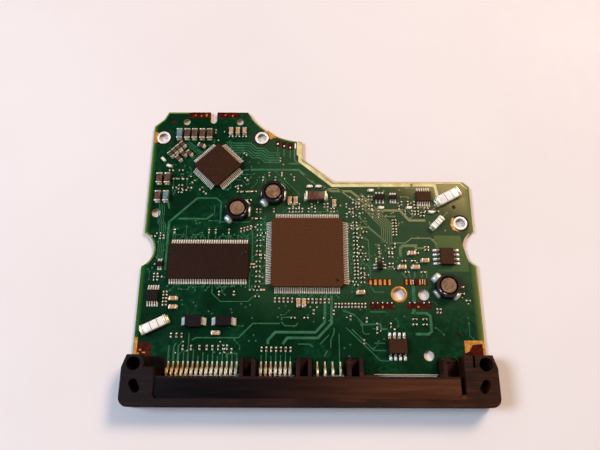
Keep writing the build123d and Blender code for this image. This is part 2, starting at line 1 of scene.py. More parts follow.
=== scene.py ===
import math
import bmesh
import bpy
import numpy as np
from mathutils import Matrix, Vector
from mathutils.geometry import convex_hull_2d


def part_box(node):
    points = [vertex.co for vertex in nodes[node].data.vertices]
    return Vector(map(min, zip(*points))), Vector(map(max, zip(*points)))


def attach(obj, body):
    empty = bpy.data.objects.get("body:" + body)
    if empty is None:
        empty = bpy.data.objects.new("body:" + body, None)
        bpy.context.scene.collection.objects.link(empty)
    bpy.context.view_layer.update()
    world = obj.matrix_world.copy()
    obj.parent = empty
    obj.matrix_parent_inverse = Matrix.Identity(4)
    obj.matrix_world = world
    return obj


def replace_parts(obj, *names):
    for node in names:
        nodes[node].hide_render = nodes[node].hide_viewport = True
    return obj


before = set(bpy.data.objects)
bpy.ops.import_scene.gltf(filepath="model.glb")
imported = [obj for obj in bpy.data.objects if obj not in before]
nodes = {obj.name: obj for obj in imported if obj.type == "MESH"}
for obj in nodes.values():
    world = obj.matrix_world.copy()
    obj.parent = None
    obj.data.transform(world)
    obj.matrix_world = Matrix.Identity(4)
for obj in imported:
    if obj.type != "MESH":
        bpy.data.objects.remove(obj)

for spare in ("Cube", "Light", "Camera"):
    if spare in bpy.data.objects:
        bpy.data.objects.remove(bpy.data.objects[spare], do_unlink=True)
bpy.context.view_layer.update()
mm = 0.001
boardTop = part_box("circuit_board")[1][2]
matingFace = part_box("connector_housing")[0][1]
rng = np.random.default_rng(7)
# mesh points of one solid: a block, a terminal and the frame of an inductor
blockPoints, terminalPoints, framePoints = 24, 48, 192


# millimetres on the board to metres in the model's frame
def toModel(points):
    return np.asarray(points, dtype=float) * mm + np.array([0.0, matingFace, boardTop])


# sRGB hex to linear colour: each channel is ((c + 0.055) / 1.055) to the power 2.4
def linear(code):
    channels = [int(code[i:i + 2], 16) / 255 for i in (1, 3, 5)]
    return tuple(c / 12.92 if c < 0.04045 else ((c + 0.055) / 1.055) ** 2.4 for c in channels) + (1.0,)


# closed pieces, each a section (columns) carried through stations (rows): the ends get one face
# each, or with ringed=True the last row joins the first
def addSurface(name, grids, material, smooth=True, ringed=False):
    points, faces, start = [], [], 0
    for grid in grids:
        rows, columns = grid.shape[:2]
        index = np.arange(rows * columns).reshape(rows, columns) + start
        following = np.roll(index, -1, axis=0)
        quads = stacked(index, np.roll(index, -1, axis=1), np.roll(following, -1, axis=1), following)
        if ringed:
            faces += quads.reshape(-1, 4).tolist()
        else:
            faces += quads[:-1].reshape(-1, 4).tolist() + [index[0].tolist(), index[-1].tolist()]
        points.append(grid.reshape(-1, 3))
        start += rows * columns
    mesh = bpy.data.meshes.new(name)
    mesh.from_pydata(toModel(np.concatenate(points)).tolist(), [], faces)
    work = bmesh.new()
    work.from_mesh(mesh)
    bmesh.ops.recalc_face_normals(work, faces=work.faces)
    work.to_mesh(mesh)
    work.free()
    mesh.polygons.foreach_set("use_smooth", np.full(len(mesh.polygons), smooth))
    piece = bpy.data.objects.new(name, mesh)
    bpy.context.scene.collection.objects.link(piece)
    piece.data.materials.append(material)
    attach(piece, "root")
    return piece


# arrays or numbers brought to one shape and set side by side along a new last axis
def stacked(*parts):
    return np.stack(np.broadcast_arrays(*parts), axis=-1)


# flat (x, y) points with one height added
def raised(points, height=0.0):
    points = np.asarray(points, dtype=float)
    return stacked(points[..., 0], points[..., 1], height)


# one row of so many numbers for each of count pieces, from such rows or from one row for all
def eachOf(count, row):
    row = np.asarray(row, dtype=float)
    return np.broadcast_to(row, (count, row.shape[-1]))[:, None, None, :]


# vectors made one long
def unit(vectors):
    return vectors / np.linalg.norm(vectors, axis=-1, keepdims=True)


# flat directions turned a quarter to the left
def leftOf(directions):
    return stacked(-directions[..., 1], directions[..., 0])


# sideways directions at a path's points, lengthened at the bends so that the width stays
def mitre(path):
    path = np.asarray(path, dtype=float)
    steps = unit(np.diff(path, axis=0))
    before, after = np.vstack([steps[:1], steps]), np.vstack([steps, steps[-1:]])
    middle = unit(before + after)
    return path, leftOf(middle) / np.maximum(np.sum(middle * after, axis=1, keepdims=True), 0.5)


# low bar along a path: a section, full width at the base and 0.8 of it at the top, at each point
def track(path, width, height, base=0.0):
    path, side = mitre(path)
    across = np.array([-0.5, -0.4, 0.4, 0.5]) * width
    flat = path[:, None, :] + side[:, None, :] * across[None, :, None]
    return stacked(flat[..., 0], flat[..., 1], np.array([base, height, height, base]))


# side-by-side copies of a path, one pitch apart
def bundle(path, count, pitch):
    path, side = mitre(path)
    return [path + side * (i - (count - 1) / 2) * pitch for i in range(count)]


# flat piece: its outline (columns) at the base and at the top
def slab(outline, height, base=0.0):
    return np.stack([raised(outline, base), raised(outline, height)])


# turned piece at each centre: (radius, height) profile points x equal angles round the axis
def turned(profile, centres, sides):
    radius, height = np.asarray(profile, dtype=float).T[..., None]
    angle = np.arange(sides) * 2 * math.pi / sides
    shape = stacked(radius * np.cos(angle), radius * np.sin(angle), height)
    return shape + raised(centres)[:, None, None, :]


# local (x, y, z) grids turned to each piece's own long direction and moved to its centre
def onAxes(local, centres, along):
    along = eachOf(len(centres), along)
    flat = local[..., 0, None] * along + local[..., 1, None] * leftOf(along)
    return np.concatenate([flat, local[..., 2, None]], axis=-1) + eachOf(len(centres), centres)


# rounded square with sides of 1: cos and sin to a power below 1, with their signs kept
def roundedSection(sides, power):
    angle = (np.arange(sides) + 0.5) * 2 * math.pi / sides
    return [np.sign(wave) * np.abs(wave) ** power / 2 for wave in (np.cos(angle), np.sin(angle))]


# bars with rounded edges: a rounded section, drawn in at both ends by a quarter circle
def roundedBars(centres, along, sizes, rounding, power=0.3, sides=16):
    length, width, height = np.moveaxis(eachOf(len(centres), sizes), -1, 0)
    sectionY, sectionZ = roundedSection(sides, power)
    inset = np.array([1.0, 0.3, 0.0, 0.0, 0.3, 1.0])[:, None] * rounding
    reach = np.array([0.0, 0.3, 1.0, -1.0, -0.3, 0.0])[:, None] * rounding
    end = np.array([-0.5, -0.5, -0.5, 0.5, 0.5, 0.5])[:, None]
    y = sectionY * (width - 2 * inset)
    z = sectionZ * (height - 2 * inset) + height / 2
    return onAxes(stacked(end * length + reach, y, z), centres, along)


# solder on a pad: a rounded rectangle that draws in roundly towards its top
def pillows(centres, along, sizes):
    sectionX, sectionY = roundedSection(12, 0.4)
    scale = np.array([1.0, 0.94, 0.72, 0.35])[:, None]
    rise = np.array([0.0, 0.45, 0.85, 1.0])[:, None]
    local = stacked(scale * sectionX, scale * sectionY, rise) * eachOf(len(centres), sizes)
    return onAxes(local, centres, along)


# convex outline with its edges moved inwards by that many mm
def drawnIn(outline, amount):
    inward = leftOf(unit(np.roll(outline, -1, axis=0) - outline))
    before = np.roll(inward, 1, axis=0)
    return outline + amount * (before + inward) / (1 + (before * inward).sum(axis=1, keepdims=True))


# moulded body: rows of (inset, height) round an outline
def moulding(outline, rows):
    return np.stack([raised(drawnIn(outline, inset), height) for inset, height in rows])


# a CAD node's points in mm on the board, one row for each of its solids of so many points
def solids(node, corners):
    mesh = nodes[node].data
    points = np.empty(len(mesh.vertices) * 3)
    mesh.vertices.foreach_get("co", points)
    return (points.reshape(-1, corners, 3) - np.array([0.0, matingFace, boardTop])) / mm


# centre on the board, long direction and size of every block in a node: its points sorted by their
# angle round the middle come in sixes, six at each upright edge
def chipFrames(node):
    corners = solids(node, blockPoints)
    middle = corners.mean(axis=1)
    flat = corners[:, :, :2] - middle[:, None, :2]
    order = np.argsort((np.arctan2(flat[..., 1], flat[..., 0]) + 0.1) % (2 * math.pi), axis=1)[:, ::6]
    outline = np.take_along_axis(flat, order[..., None], axis=1)
    first, second = outline[:, 1] - outline[:, 0], outline[:, 2] - outline[:, 1]
    firstLong = (np.linalg.norm(first, axis=1) >= np.linalg.norm(second, axis=1))[:, None]
    longEdge, shortEdge = np.where(firstLong, first, second), np.where(firstLong, second, first)
    length, width = np.linalg.norm(longEdge, axis=1), np.linalg.norm(shortEdge, axis=1)
    low, high = corners[..., 2].min(axis=1), corners[..., 2].max(axis=1)
    middle[:, 2] = low
    return middle, longEdge / length[:, None], stacked(length, width, high - low)


# toe, outward direction and width of every lead in a node: its foot is what lies below 0.3 of the
# node's height, and out is from the middle of the rest to the middle of the foot
def leadFrames(node, corners):
    points = solids(node, corners)
    low = (points[..., 2] < 0.3 * points[..., 2].max())[..., None]
    foot = (points * low).sum(axis=1) / low.sum(axis=1)
    shoulder = (points * ~low).sum(axis=1) / (~low).sum(axis=1)
    out = unit((foot - shoulder)[:, :2])
    apart = points[..., :2] - foot[:, None, :2]
    ahead = (apart * out[:, None, :]).sum(axis=-1).max(axis=1)
    sideways = apart[..., 1] * out[:, None, 0] - apart[..., 0] * out[:, None, 1]
    return foot[:, :2] + out * ahead[:, None], out, np.ptp(sideways, axis=1)


print("shapes ready")


# a node with its settings: each input is a plain value, a hex colour, another node's output, or
# another node, whose first output it takes
def addNode(tree, kind, inputs=None, **settings):
    node = tree.nodes.new(kind)
    for name, value in settings.items():
        setattr(node, name, value)
    for socket, value in (inputs or {}).items():
        value = value.outputs[0] if isinstance(value, bpy.types.Node) else value
        if isinstance(value, bpy.types.NodeSocket):
            tree.links.new(value, node.inputs[socket])
        else:
            node.inputs[socket].default_value = linear(value) if isinstance(value, str) else value
    return node


# pattern scale for a feature of that many millimetres
def perMm(size):
    return 1 / (size * mm)


# new material, its node tree, its shader and the coordinates that its patterns read
def startFinish(name):
    material = bpy.data.materials.new(name)
    material.use_nodes = True
    tree = material.node_tree
    shader = next(node for node in tree.nodes if node.type == "BSDF_PRINCIPLED")
    return material, tree, shader, addNode(tree, "ShaderNodeTexCoord").outputs["Object"]


# colours laid over one another: each of the covers, a share and a colour, hides what is below it
# by that share
def layered(tree, colour, *covers):
    for share, cover in covers:
        mix = addNode(tree, "ShaderNodeMix", {0: share, 6: colour, 7: cover}, data_type="RGBA")
        colour = mix.outputs[2]
    return colour


# two colours mixed by noise whose blotches are about grain mm across
def mottle(tree, place, dark, light, grain, low=0.35, high=0.65, detail=4.0):
    noise = addNode(tree, "ShaderNodeTexNoise", {"Vector": place, "Scale": perMm(grain), "Detail": detail})
    share = addNode(tree, "ShaderNodeMapRange", {"Value": noise, "From Min": low, "From Max": high})
    return layered(tree, dark, (share, light))


# share that grows from 0 to 1 between two places along x, in mm from the middle of the part
def shareAcross(tree, place, start, end, growth="SMOOTHSTEP"):
    axes = addNode(tree, "ShaderNodeSeparateXYZ", {"Vector": place}).outputs
    return addNode(tree, "ShaderNodeMapRange", {
        "Value": axes["X"], "From Min": start * mm, "From Max": end * mm,
    }, interpolation_type=growth)


# share of a zone: a smooth step in the distance along lean, up to most, times one in x; towards the
# far right corner unless lean says otherwise
def zoneShare(tree, place, start, end, left, right, lean=(0.45, 0.9, 0.0), most=1.0):
    slope = addNode(tree, "ShaderNodeVectorMath", {0: place, 1: lean}, operation="DOT_PRODUCT")
    upper = addNode(tree, "ShaderNodeMapRange", {
        "Value": slope.outputs["Value"], "From Min": start * mm, "From Max": end * mm, "To Max": most,
    }, interpolation_type="SMOOTHSTEP")
    return addNode(tree, "ShaderNodeMath", {
        0: upper, 1: shareAcross(tree, place, left, right),
    }, operation="MULTIPLY")


# upward part of the surface's direction: 1 on a level face, 0 on an upright one
def facingUp(tree):
    normal = addNode(tree, "ShaderNodeNewGeometry").outputs["Normal"]
    return addNode(tree, "ShaderNodeSeparateXYZ", {"Vector": normal}).outputs["Z"]


noiseSpread = {"From Min": 0.3, "From Max": 0.7}


# roughness that wanders between low and high, and bumps depth mm high of the same grain
def roughen(tree, shader, place, grain, low, high, depth=0.0):
    noise = addNode(tree, "ShaderNodeTexNoise", {"Vector": place, "Scale": perMm(grain), "Detail": 3.0})
    wander = addNode(tree, "ShaderNodeMapRange", {
        "Value": noise, "To Min": low, "To Max": high, **noiseSpread,
    })
    tree.links.new(wander.outputs["Result"], shader.inputs["Roughness"])
    if depth:
        bump = addNode(tree, "ShaderNodeBump", {"Height": noise, "Distance": depth * mm})
        tree.links.new(bump.outputs["Normal"], shader.inputs["Normal"])


# mottled colour, wandering roughness from and to, and a surface grain, its size and depth in mm
def plainFinish(name, dark, light, grain, rough, depth=0.0, metallic=0.0, specular=0.5, coat=0.0):
    material, tree, shader, place = startFinish(name)
    tree.links.new(mottle(tree, place, dark, light, grain), shader.inputs["Base Color"])
    roughen(tree, shader, place, grain * 0.6, *rough, depth)
    shader.inputs["Metallic"].default_value = metallic
    if not metallic:
        shader.inputs["Specular IOR Level"].default_value = specular
    shader.inputs["Coat Weight"].default_value = coat
    shader.inputs["Coat Roughness"].default_value = 0.2
    return material


# colours of the mask and of the board's cut edge, sizes in mm of what mottles them and the noise
# between which it shows, gloss as in roughen, and where the mask is paler: in zones, with limits as in
# zoneShare, and in the margins from x to x
solderMask = dict(
    deep="#01240E", field="#022C15", poured="#093B20", laminate="#B9A271", weave="#9D8758",
    cloud=9.0, fine=1.3, fineShare=(0.45, 0.6), plane=16.0, planeShare=(0.47, 0.55), clothLayer=0.2,
    gloss=(2.2, 0.24, 0.34, 0.004), specular=0.17,
    zones=(
        ("#274529", (-24.0, -8.0, -23.0, -9.0, (0.0, 1.0, 0.0), 0.85)),
        ("#484C24", (18.0, 38.0, -12.0, 26.0)),
        ("#9A8C56", (25.0, 36.0, 0.0, 30.0)),
    ),
    margins=(("#2F5A1A", -44.9, -45.9), ("#5E6A2C", 44.3, 45.9)),
    # copper below the mask turns olive in its own zone
    covered=dict(zone=(2.0, 26.0, -14.0, 20.0), blotch=1.6, gloss=(0.8, 0.28, 0.42, 0.003), specular=0.15),
)


# green photo-imaged mask on copper and glass cloth: deep even green with a satin gloss, browner
# where it lies thin on wide copper, and bare laminate at the routed edges
def maskFinish():
    material, tree, shader, place = startFinish("solderMaskGreen")
    field = mottle(tree, place, solderMask["deep"], solderMask["field"], solderMask["cloud"], detail=2.0)
    grain, share = solderMask["fine"], solderMask["fineShare"]
    fine = mottle(tree, place, solderMask["field"], solderMask["poured"], grain, *share)
    patches = addNode(tree, "ShaderNodeTexNoise", {
        "Vector": place, "Scale": perMm(solderMask["plane"]), "Detail": 1.0,
    })
    low, high = solderMask["planeShare"]
    planes = addNode(tree, "ShaderNodeMapRange", {"Value": patches, "From Min": low, "From Max": high})
    zones = [(zoneShare(tree, place, *limits), code) for code, limits in solderMask["zones"]]
    margins = [(shareAcross(tree, place, *ends, "LINEAR"), code) for code, *ends in solderMask["margins"]]
    colour = layered(tree, field, (planes, fine), *zones, *margins)
    # routed edges show the layers of glass cloth in epoxy, drawn six times as coarse so that they show
    layers = addNode(tree, "ShaderNodeTexWave", {
        "Vector": place, "Scale": perMm(solderMask["clothLayer"]) / 20, "Distortion": 1.5, "Detail": 2.0,
    }, bands_direction="Z")
    cut = layered(tree, solderMask["laminate"], (layers.outputs["Fac"], solderMask["weave"]))
    steep = addNode(tree, "ShaderNodeMath", {0: facingUp(tree)}, operation="ABSOLUTE")
    face = addNode(tree, "ShaderNodeMath", {0: steep, 1: 0.5}, operation="GREATER_THAN")
    tree.links.new(layered(tree, cut, (face, colour)), shader.inputs["Base Color"])
    roughen(tree, shader, place, *solderMask["gloss"])
    shader.inputs["Specular IOR Level"].default_value = solderMask["specular"]
    return material


# copper under green mask: a paler green line, olive where the mask is thin
def coveredCopper(name, cool, broken, warm):
    material, tree, shader, place = startFinish(name)
    covered = solderMask["covered"]
    field = mottle(tree, place, cool, broken, covered["blotch"])
    olive = zoneShare(tree, place, *covered["zone"])
    tree.links.new(layered(tree, field, (olive, warm)), shader.inputs["Base Color"])
    roughen(tree, shader, place, *covered["gloss"])
    shader.inputs["Specular IOR Level"].default_value = covered["specular"]
    return material


# glass-filled nylon: brown-black, faintly streaked along the flow; a spark-eroded grain, drawn coarse enough
# to show, on the rim and ears, and a polished deck behind the rim, its colour painted near black for the dark
# room it reflects and growing to a painted warm glare towards the right. Sizes in mm, the deck's middle and
# half width in y and half length in x, and the x between which a colour changes: the painted glare, and the
# painted light tint
nylon = dict(
    body=("#25140E", "#301B13"), streak="#45291D", deck=("#0B0708", "#1A100D"),
    paintedGlare=("#462C20", "#5E4030"), paintedCoolLeft="#8C84AC", paintedWarmRight="#FFDCC0",
    blotch=5.0, deckBlotch=2.5, glareBlotch=1.5, streakWidth=0.7, streakStretch=0.08,
    streakShare=(0.5, 0.72), grain=0.28,
    deckMiddle=4.4, deckHalf=2.4, deckEnds=38.6, glareSpanAndWornBand=(-22.0, 42.0), paintedLightTint=(-48.0, 20.0),
    grainDepth=0.02, coarse=(0.48, 0.62), smooth=(0.3, 0.42), specular=0.14,
)


def housingFinish():
    material, tree, shader, place = startFinish("glassFilledNylon")
    along = addNode(tree, "ShaderNodeMapping", {
        "Vector": place, "Scale": (nylon["streakStretch"], 1.0, 1.0),
    })
    flow, grain = (
        addNode(tree, "ShaderNodeTexNoise", {
            "Vector": vector, "Scale": perMm(nylon[size]), "Detail": 3.0,
        }) for vector, size in ((along, "streakWidth"), (place, "grain"))
    )
    low, high = nylon["streakShare"]
    streak = addNode(tree, "ShaderNodeMapRange", {"Value": flow, "From Min": low, "From Max": high})
    body = mottle(tree, place, *nylon["body"], nylon["blotch"])
    axes = addNode(tree, "ShaderNodeSeparateXYZ", {"Vector": place}).outputs
    behindRim = addNode(tree, "ShaderNodeMath", {
        0: axes["Y"], 1: matingFace + nylon["deckMiddle"] * mm, 2: nylon["deckHalf"] * mm,
    }, operation="COMPARE")
    sideways = addNode(tree, "ShaderNodeMath", {0: axes["X"]}, operation="ABSOLUTE")
    between = addNode(tree, "ShaderNodeMath", {
        0: sideways, 1: nylon["deckEnds"] * mm,
    }, operation="LESS_THAN")
    deck = addNode(tree, "ShaderNodeMath", {0: behindRim, 1: between}, operation="MULTIPLY")
    # painted reflection on the deck: near black where it mirrors the dark room, growing to a painted warm
    # glare towards the right
    paintedDeckReflection = layered(tree, mottle(tree, along, *nylon["deck"], nylon["deckBlotch"]), (
        shareAcross(tree, place, *nylon["glareSpanAndWornBand"]),
        mottle(tree, along, *nylon["paintedGlare"], nylon["glareBlotch"]),
    ))
    colour = layered(tree, body, (streak, nylon["streak"]), (deck, paintedDeckReflection))
    # painted light: blue-black at the left end under the cool lamp, redder at the right under the warm lamp
    across = shareAcross(tree, place, *nylon["paintedLightTint"], "LINEAR")
    paintedTintColour = layered(tree, nylon["paintedCoolLeft"], (across, nylon["paintedWarmRight"]))
    paintedLightTint = addNode(tree, "ShaderNodeMix", {
        0: 1.0, 6: colour, 7: paintedTintColour,
    }, data_type="RGBA", blend_type="MULTIPLY")
    tree.links.new(paintedLightTint.outputs[2], shader.inputs["Base Color"])
    coarse, smooth = (
        addNode(tree, "ShaderNodeMapRange", {
            "Value": noise, "To Min": nylon[kind][0], "To Max": nylon[kind][1], **noiseSpread,
        }) for noise, kind in ((grain, "coarse"), (flow, "smooth"))
    )
    gloss = addNode(tree, "ShaderNodeMix", {0: deck, 2: coarse, 3: smooth}, data_type="FLOAT")
    tree.links.new(gloss.outputs[0], shader.inputs["Roughness"])
    bump = addNode(tree, "ShaderNodeBump", {"Height": grain, "Distance": nylon["grainDepth"] * mm})
    tree.links.new(bump.outputs["Normal"], shader.inputs["Normal"])
    shader.inputs["Specular IOR Level"].default_value = nylon["specular"]
    return material


# stamped copper alloy with a flash of gold over nickel: pale, warmer towards the power end from x to
# x, and worn through to tan alloy in bands across the terminals; each has its worn and whole colours
flash = dict(
    bandPitch=2.5, warm=(-24.0, -36.0), grain=0.5, gloss=(0.3, 0.22, 0.36), metallic=0.4,
    pale=(("#B08A58", "#C9A676"), ("#F0E4C8", "#FFF8E6")),
    gold=(("#9A5A20", "#B87836"), ("#DDA868", "#F2CE98")),
)


def terminalFinish():
    material, tree, shader, place = startFinish("goldFlashedTerminal")
    # a sine along y, with a crest at each pitch
    bands = addNode(tree, "ShaderNodeTexWave", {
        "Vector": place, "Scale": perMm(flash["bandPitch"]) * math.pi / 10, "Distortion": 0.8, "Detail": 2.0,
    }, bands_direction="Y").outputs["Fac"]
    pale, gold = (
        layered(tree, mottle(tree, place, *glareSpanAndWornBand, flash["grain"]), (
            bands, mottle(tree, place, *whole, flash["grain"]),
        )) for glareSpanAndWornBand, whole in (flash["pale"], flash["gold"])
    )
    colour = layered(tree, pale, (shareAcross(tree, place, *flash["warm"]), gold))
    tree.links.new(colour, shader.inputs["Base Color"])
    roughen(tree, shader, place, *flash["gloss"])
    shader.inputs["Metallic"].default_value = flash["metallic"]
    return material


# matt tin plate on formed leads, its colour set by which way the surface faces: painted light where they lie
# flat and face up, painted shade on the sloped bends, between these upward parts of the surface's direction
leadTin = dict(
    shadedBend=("#6A4B38", "#8A6A54"), flat=("#EAD2B8", "#FFF0D8"), flatFrom=0.5, flatTo=0.9,
    grain=0.4, gloss=(0.24, 0.36, 0.5, 0.003), metallic=0.3,
)


def leadFinish():
    material, tree, shader, place = startFinish("mattTinPlate")
    share = addNode(tree, "ShaderNodeMapRange", {
        "Value": facingUp(tree), "From Min": leadTin["flatFrom"], "From Max": leadTin["flatTo"],
    })
    shadedBend, flat = (mottle(tree, place, *leadTin[part], leadTin["grain"]) for part in ("shadedBend", "flat"))
    tree.links.new(layered(tree, shadedBend, (share, flat)), shader.inputs["Base Color"])
    roughen(tree, shader, place, *leadTin["gloss"])
    shader.inputs["Metallic"].default_value = leadTin["metallic"]
    return material


mask = maskFinish()
coveredTrack = coveredCopper("copperUnderMask", "#2C5C3B", "#3C7050", "#93875A")
widePour = coveredCopper("pourUnderMask", "#0E4A2A", "#175433", "#59622F")
# bare laminate where the mask stops short of the routed edge
bareEdge = coveredCopper("bareLaminateEdge", "#5D7A2A", "#7C8438", "#C6AE84")
# mask pulled thin over the tall edge track: pale, almost metallic yellow, partly the copper under it and
# partly a painted highlight where the edge track catches the light
borderTrack = plainFinish("thinMaskEdgeTrackAndSheen", "#D2B878", "#F0E0A4", 2.5, (0.3, 0.45), 0.004)
# levelled solder: bright tin with soft ripples
levelledSolder = plainFinish("levelledSolder", "#DAD6D0", "#F4F1EC", 0.6, (0.3, 0.42), 0.012, metallic=0.55)
# ring of solder round a screw hole, wiped bright
brightLand = plainFinish("wipedSolderLand", "#F2EEE8", "#FFFDFA", 0.6, (0.3, 0.42), 0.012, metallic=0.2)
mattTin = leadFinish()
# plated ends of the chips: smooth bright tin
endCap = plainFinish("platedEndCap", "#D0C3A6", "#F4EAD0", 1.4, (0.26, 0.4), 0.0, metallic=0.62)
# copper left bare: dull red brown with darker oxide
bareCopper = plainFinish("oxidisedCopper", "#2A0602", "#5C1606", 1.1, (0.35, 0.6), 0.006, specular=0.08)
# gold-coloured flash on copper at the board's edge
flashedCopper = plainFinish("flashedCopper", "#B87426", "#E2A04A", 0.9, (0.3, 0.5), 0.005, metallic=0.4)
# copper under a dark skin of flux round the soldered lands
fluxedCopper = plainFinish("fluxedCopper", "#220602", "#4A1206", 0.8, (0.3, 0.5), 0.005, specular=0.12)
plating = terminalFinish()
housing = housingFinish()
# the same plastic painted near black as shade, for the shaded gaps and the corner beside the board
shadedNylon = plainFinish("shadeDarkenedNylon", "#080507", "#140D0D", 1.5, (0.4, 0.6), 0.01, specular=0.12)
# filled epoxy moulding compound: matt and dark, with pale silica specks
controllerEpoxy = plainFinish("controllerEpoxy", "#4A2912", "#573016", 0.5, (0.45, 0.6), 0.012, specular=0.12)
memoryEpoxy = plainFinish("memoryEpoxy", "#241009", "#2E1709", 0.5, (0.45, 0.6), 0.012, specular=0.12)
driverEpoxy = plainFinish("driverEpoxy", "#2E170B", "#3B200E", 0.6, (0.45, 0.6), 0.014, specular=0.12)
smallEpoxy = plainFinish("smallPackageEpoxy", "#35190C", "#43240F", 0.5, (0.45, 0.6), 0.01, specular=0.15)
blackEpoxy = plainFinish("blackPackageEpoxy", "#0D080A", "#1C1210", 0.5, (0.4, 0.55), 0.01, specular=0.15)
# pressed and sintered ferrite: black, faintly porous
blackFerrite = plainFinish("pressedFerrite", "#0C0808", "#1A1210", 0.4, (0.3, 0.5), 0.02, specular=0.25)
# ground end face of a ferrite drum under varnish: tan with fine scratches
tanFerrite = plainFinish("groundFerrite", "#6A4C36", "#96745A", 0.7, (0.4, 0.6), 0.02, specular=0.2)
# dark recess of the first-pin mark
pinMark = plainFinish("firstPinRecess", "#140906", "#1E0F08", 0.3, (0.3, 0.45), 0.004, specular=0.3)
# painted highlight: pale metal arcs where the winding's edge catches the light
windingHighlight = plainFinish("paintedWindingHighlight", "#CFC6BC", "#F2ECE2", 0.3, (0.25, 0.4), 0.004, metallic=0.5)
enamelWire = plainFinish("enamelledWire", "#4A2413", "#7A4020", 0.4, (0.25, 0.4), metallic=0.6)
# barium titanate ceramic, fired: smooth brown or tan with soft blotches
brownCeramic = plainFinish("brownDielectric", "#43261A", "#623A25", 0.7, (0.35, 0.55), 0.006)
tanCeramic = plainFinish("tanDielectric", "#A8794E", "#D2A377", 0.7, (0.35, 0.55), 0.006)
blueCeramic = plainFinish("blueVaristor", "#40606E", "#6C8890", 0.7, (0.4, 0.6), 0.006)
whiteCeramic = plainFinish("whiteAlumina", "#EFE6DA", "#FBF7F0", 1.2, (0.25, 0.4), 0.004, coat=0.2)
resistorGlass = plainFinish("resistorOverglaze", "#0D0C0C", "#1B1817", 0.5, (0.2, 0.35), 0.003, coat=0.3)
print("finishes ready")


# gives CAD nodes their finish
def finish(material, *names):
    for name in names:
        for holder in nodes[name].material_slots:
            holder.material = material


finish(mask, "circuit_board")
finish(housing, "connector_housing")
finish(plating, "power_terminals", "signal_terminals", "jumper_pins")
finish(controllerEpoxy, "controller_body")
finish(memoryEpoxy, "memory_body")
finish(driverEpoxy, "motor_driver_body")
finish(smallEpoxy, "flash_body", "power_switch_body", "sensor_amplifier_body")
finish(blackEpoxy, "regulator_body", "transistor_bodies", "surge_diode_bodies")
finish(blackFerrite, "inductor_frames")
finish(levelledSolder, "surge_diode_tabs")
finish(mattTin, "controller_leads", "memory_leads", "motor_driver_leads", "flash_leads")
finish(mattTin, "power_switch_leads", "regulator_leads", "sensor_amplifier_leads", "transistor_leads")
finish(bareCopper, "contact_pads")

# moulded bodies: the draft above and below the parting line in mm, the upright lip on that line, the
# bevel round the top, the line's height as a share, and the least distance between two corners; node,
# name, finish and slot of each; and the first-pin mark of some, from the body's front right corner
bodies = dict(
    draft=0.16, lip=0.06, bevel=0.036, parting=0.45, apart=0.05,
    rows=(
        ("controller_body", "controllerPackage", controllerEpoxy, "package_epoxy"),
        ("memory_body", "memoryPackage", memoryEpoxy, "package_epoxy"),
        ("motor_driver_body", "motorDriverPackage", driverEpoxy, "package_epoxy"),
        ("flash_body", "flashPackage", smallEpoxy, "package_epoxy"),
        ("power_switch_body", "powerSwitchPackage", smallEpoxy, "package_epoxy"),
        ("sensor_amplifier_body", "sensorAmplifierPackage", smallEpoxy, "package_epoxy"),
        ("regulator_body", "regulatorPackage", blackEpoxy, "package_epoxy_black"),
    ),
    marks=(("controller_body", 1.85, 2.0, 0.5), ("memory_body", 1.4, 7.4, 0.62)),
    # share of the mark's radius and height above the package, from its outside to its middle
    markProfile=((1.0, -0.05), (1.0, 0.03), (0.6, 0.015)),
)


def buildBodies():
    draft, lip, bevel = bodies["draft"], bodies["lip"], bodies["bevel"]
    for node, name, material, slot in bodies["rows"]:
        points = solids(node, len(nodes[node].data.vertices))[0]
        outline = points[convex_hull_2d(points[:, :2].tolist()), :2]
        gaps = np.linalg.norm(outline - np.roll(outline, 1, axis=0), axis=1)
        outline = outline[gaps > bodies["apart"]]
        # anticlockwise: twice the area, the sum of x times the next y less y times the next x, is positive
        around = np.roll(outline, -1, axis=0)
        if (outline[:, 0] * around[:, 1] - outline[:, 1] * around[:, 0]).sum() < 0:
            outline = outline[::-1]
        low, high = points[:, 2].min(), points[:, 2].max()
        middle = low + (high - low) * bodies["parting"]
        rows = [(draft, low), (0, middle), (0, middle + lip), (draft, high - bevel), (draft + bevel, high)]
        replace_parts(addSurface(name, [moulding(outline, rows)], material, smooth=False), node)
    for node, left, up, radius in bodies["marks"]:
        low, high = np.array(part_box(node)) / mm
        centre = (high[0] - left, low[1] + up - matingFace / mm)
        top = high[2] - boardTop / mm
        profile = [(radius * share, top + rise) for share, rise in bodies["markProfile"]]
        addSurface(node + "Mark", turned(profile, [centre], 24), pinMark)


buildBodies()

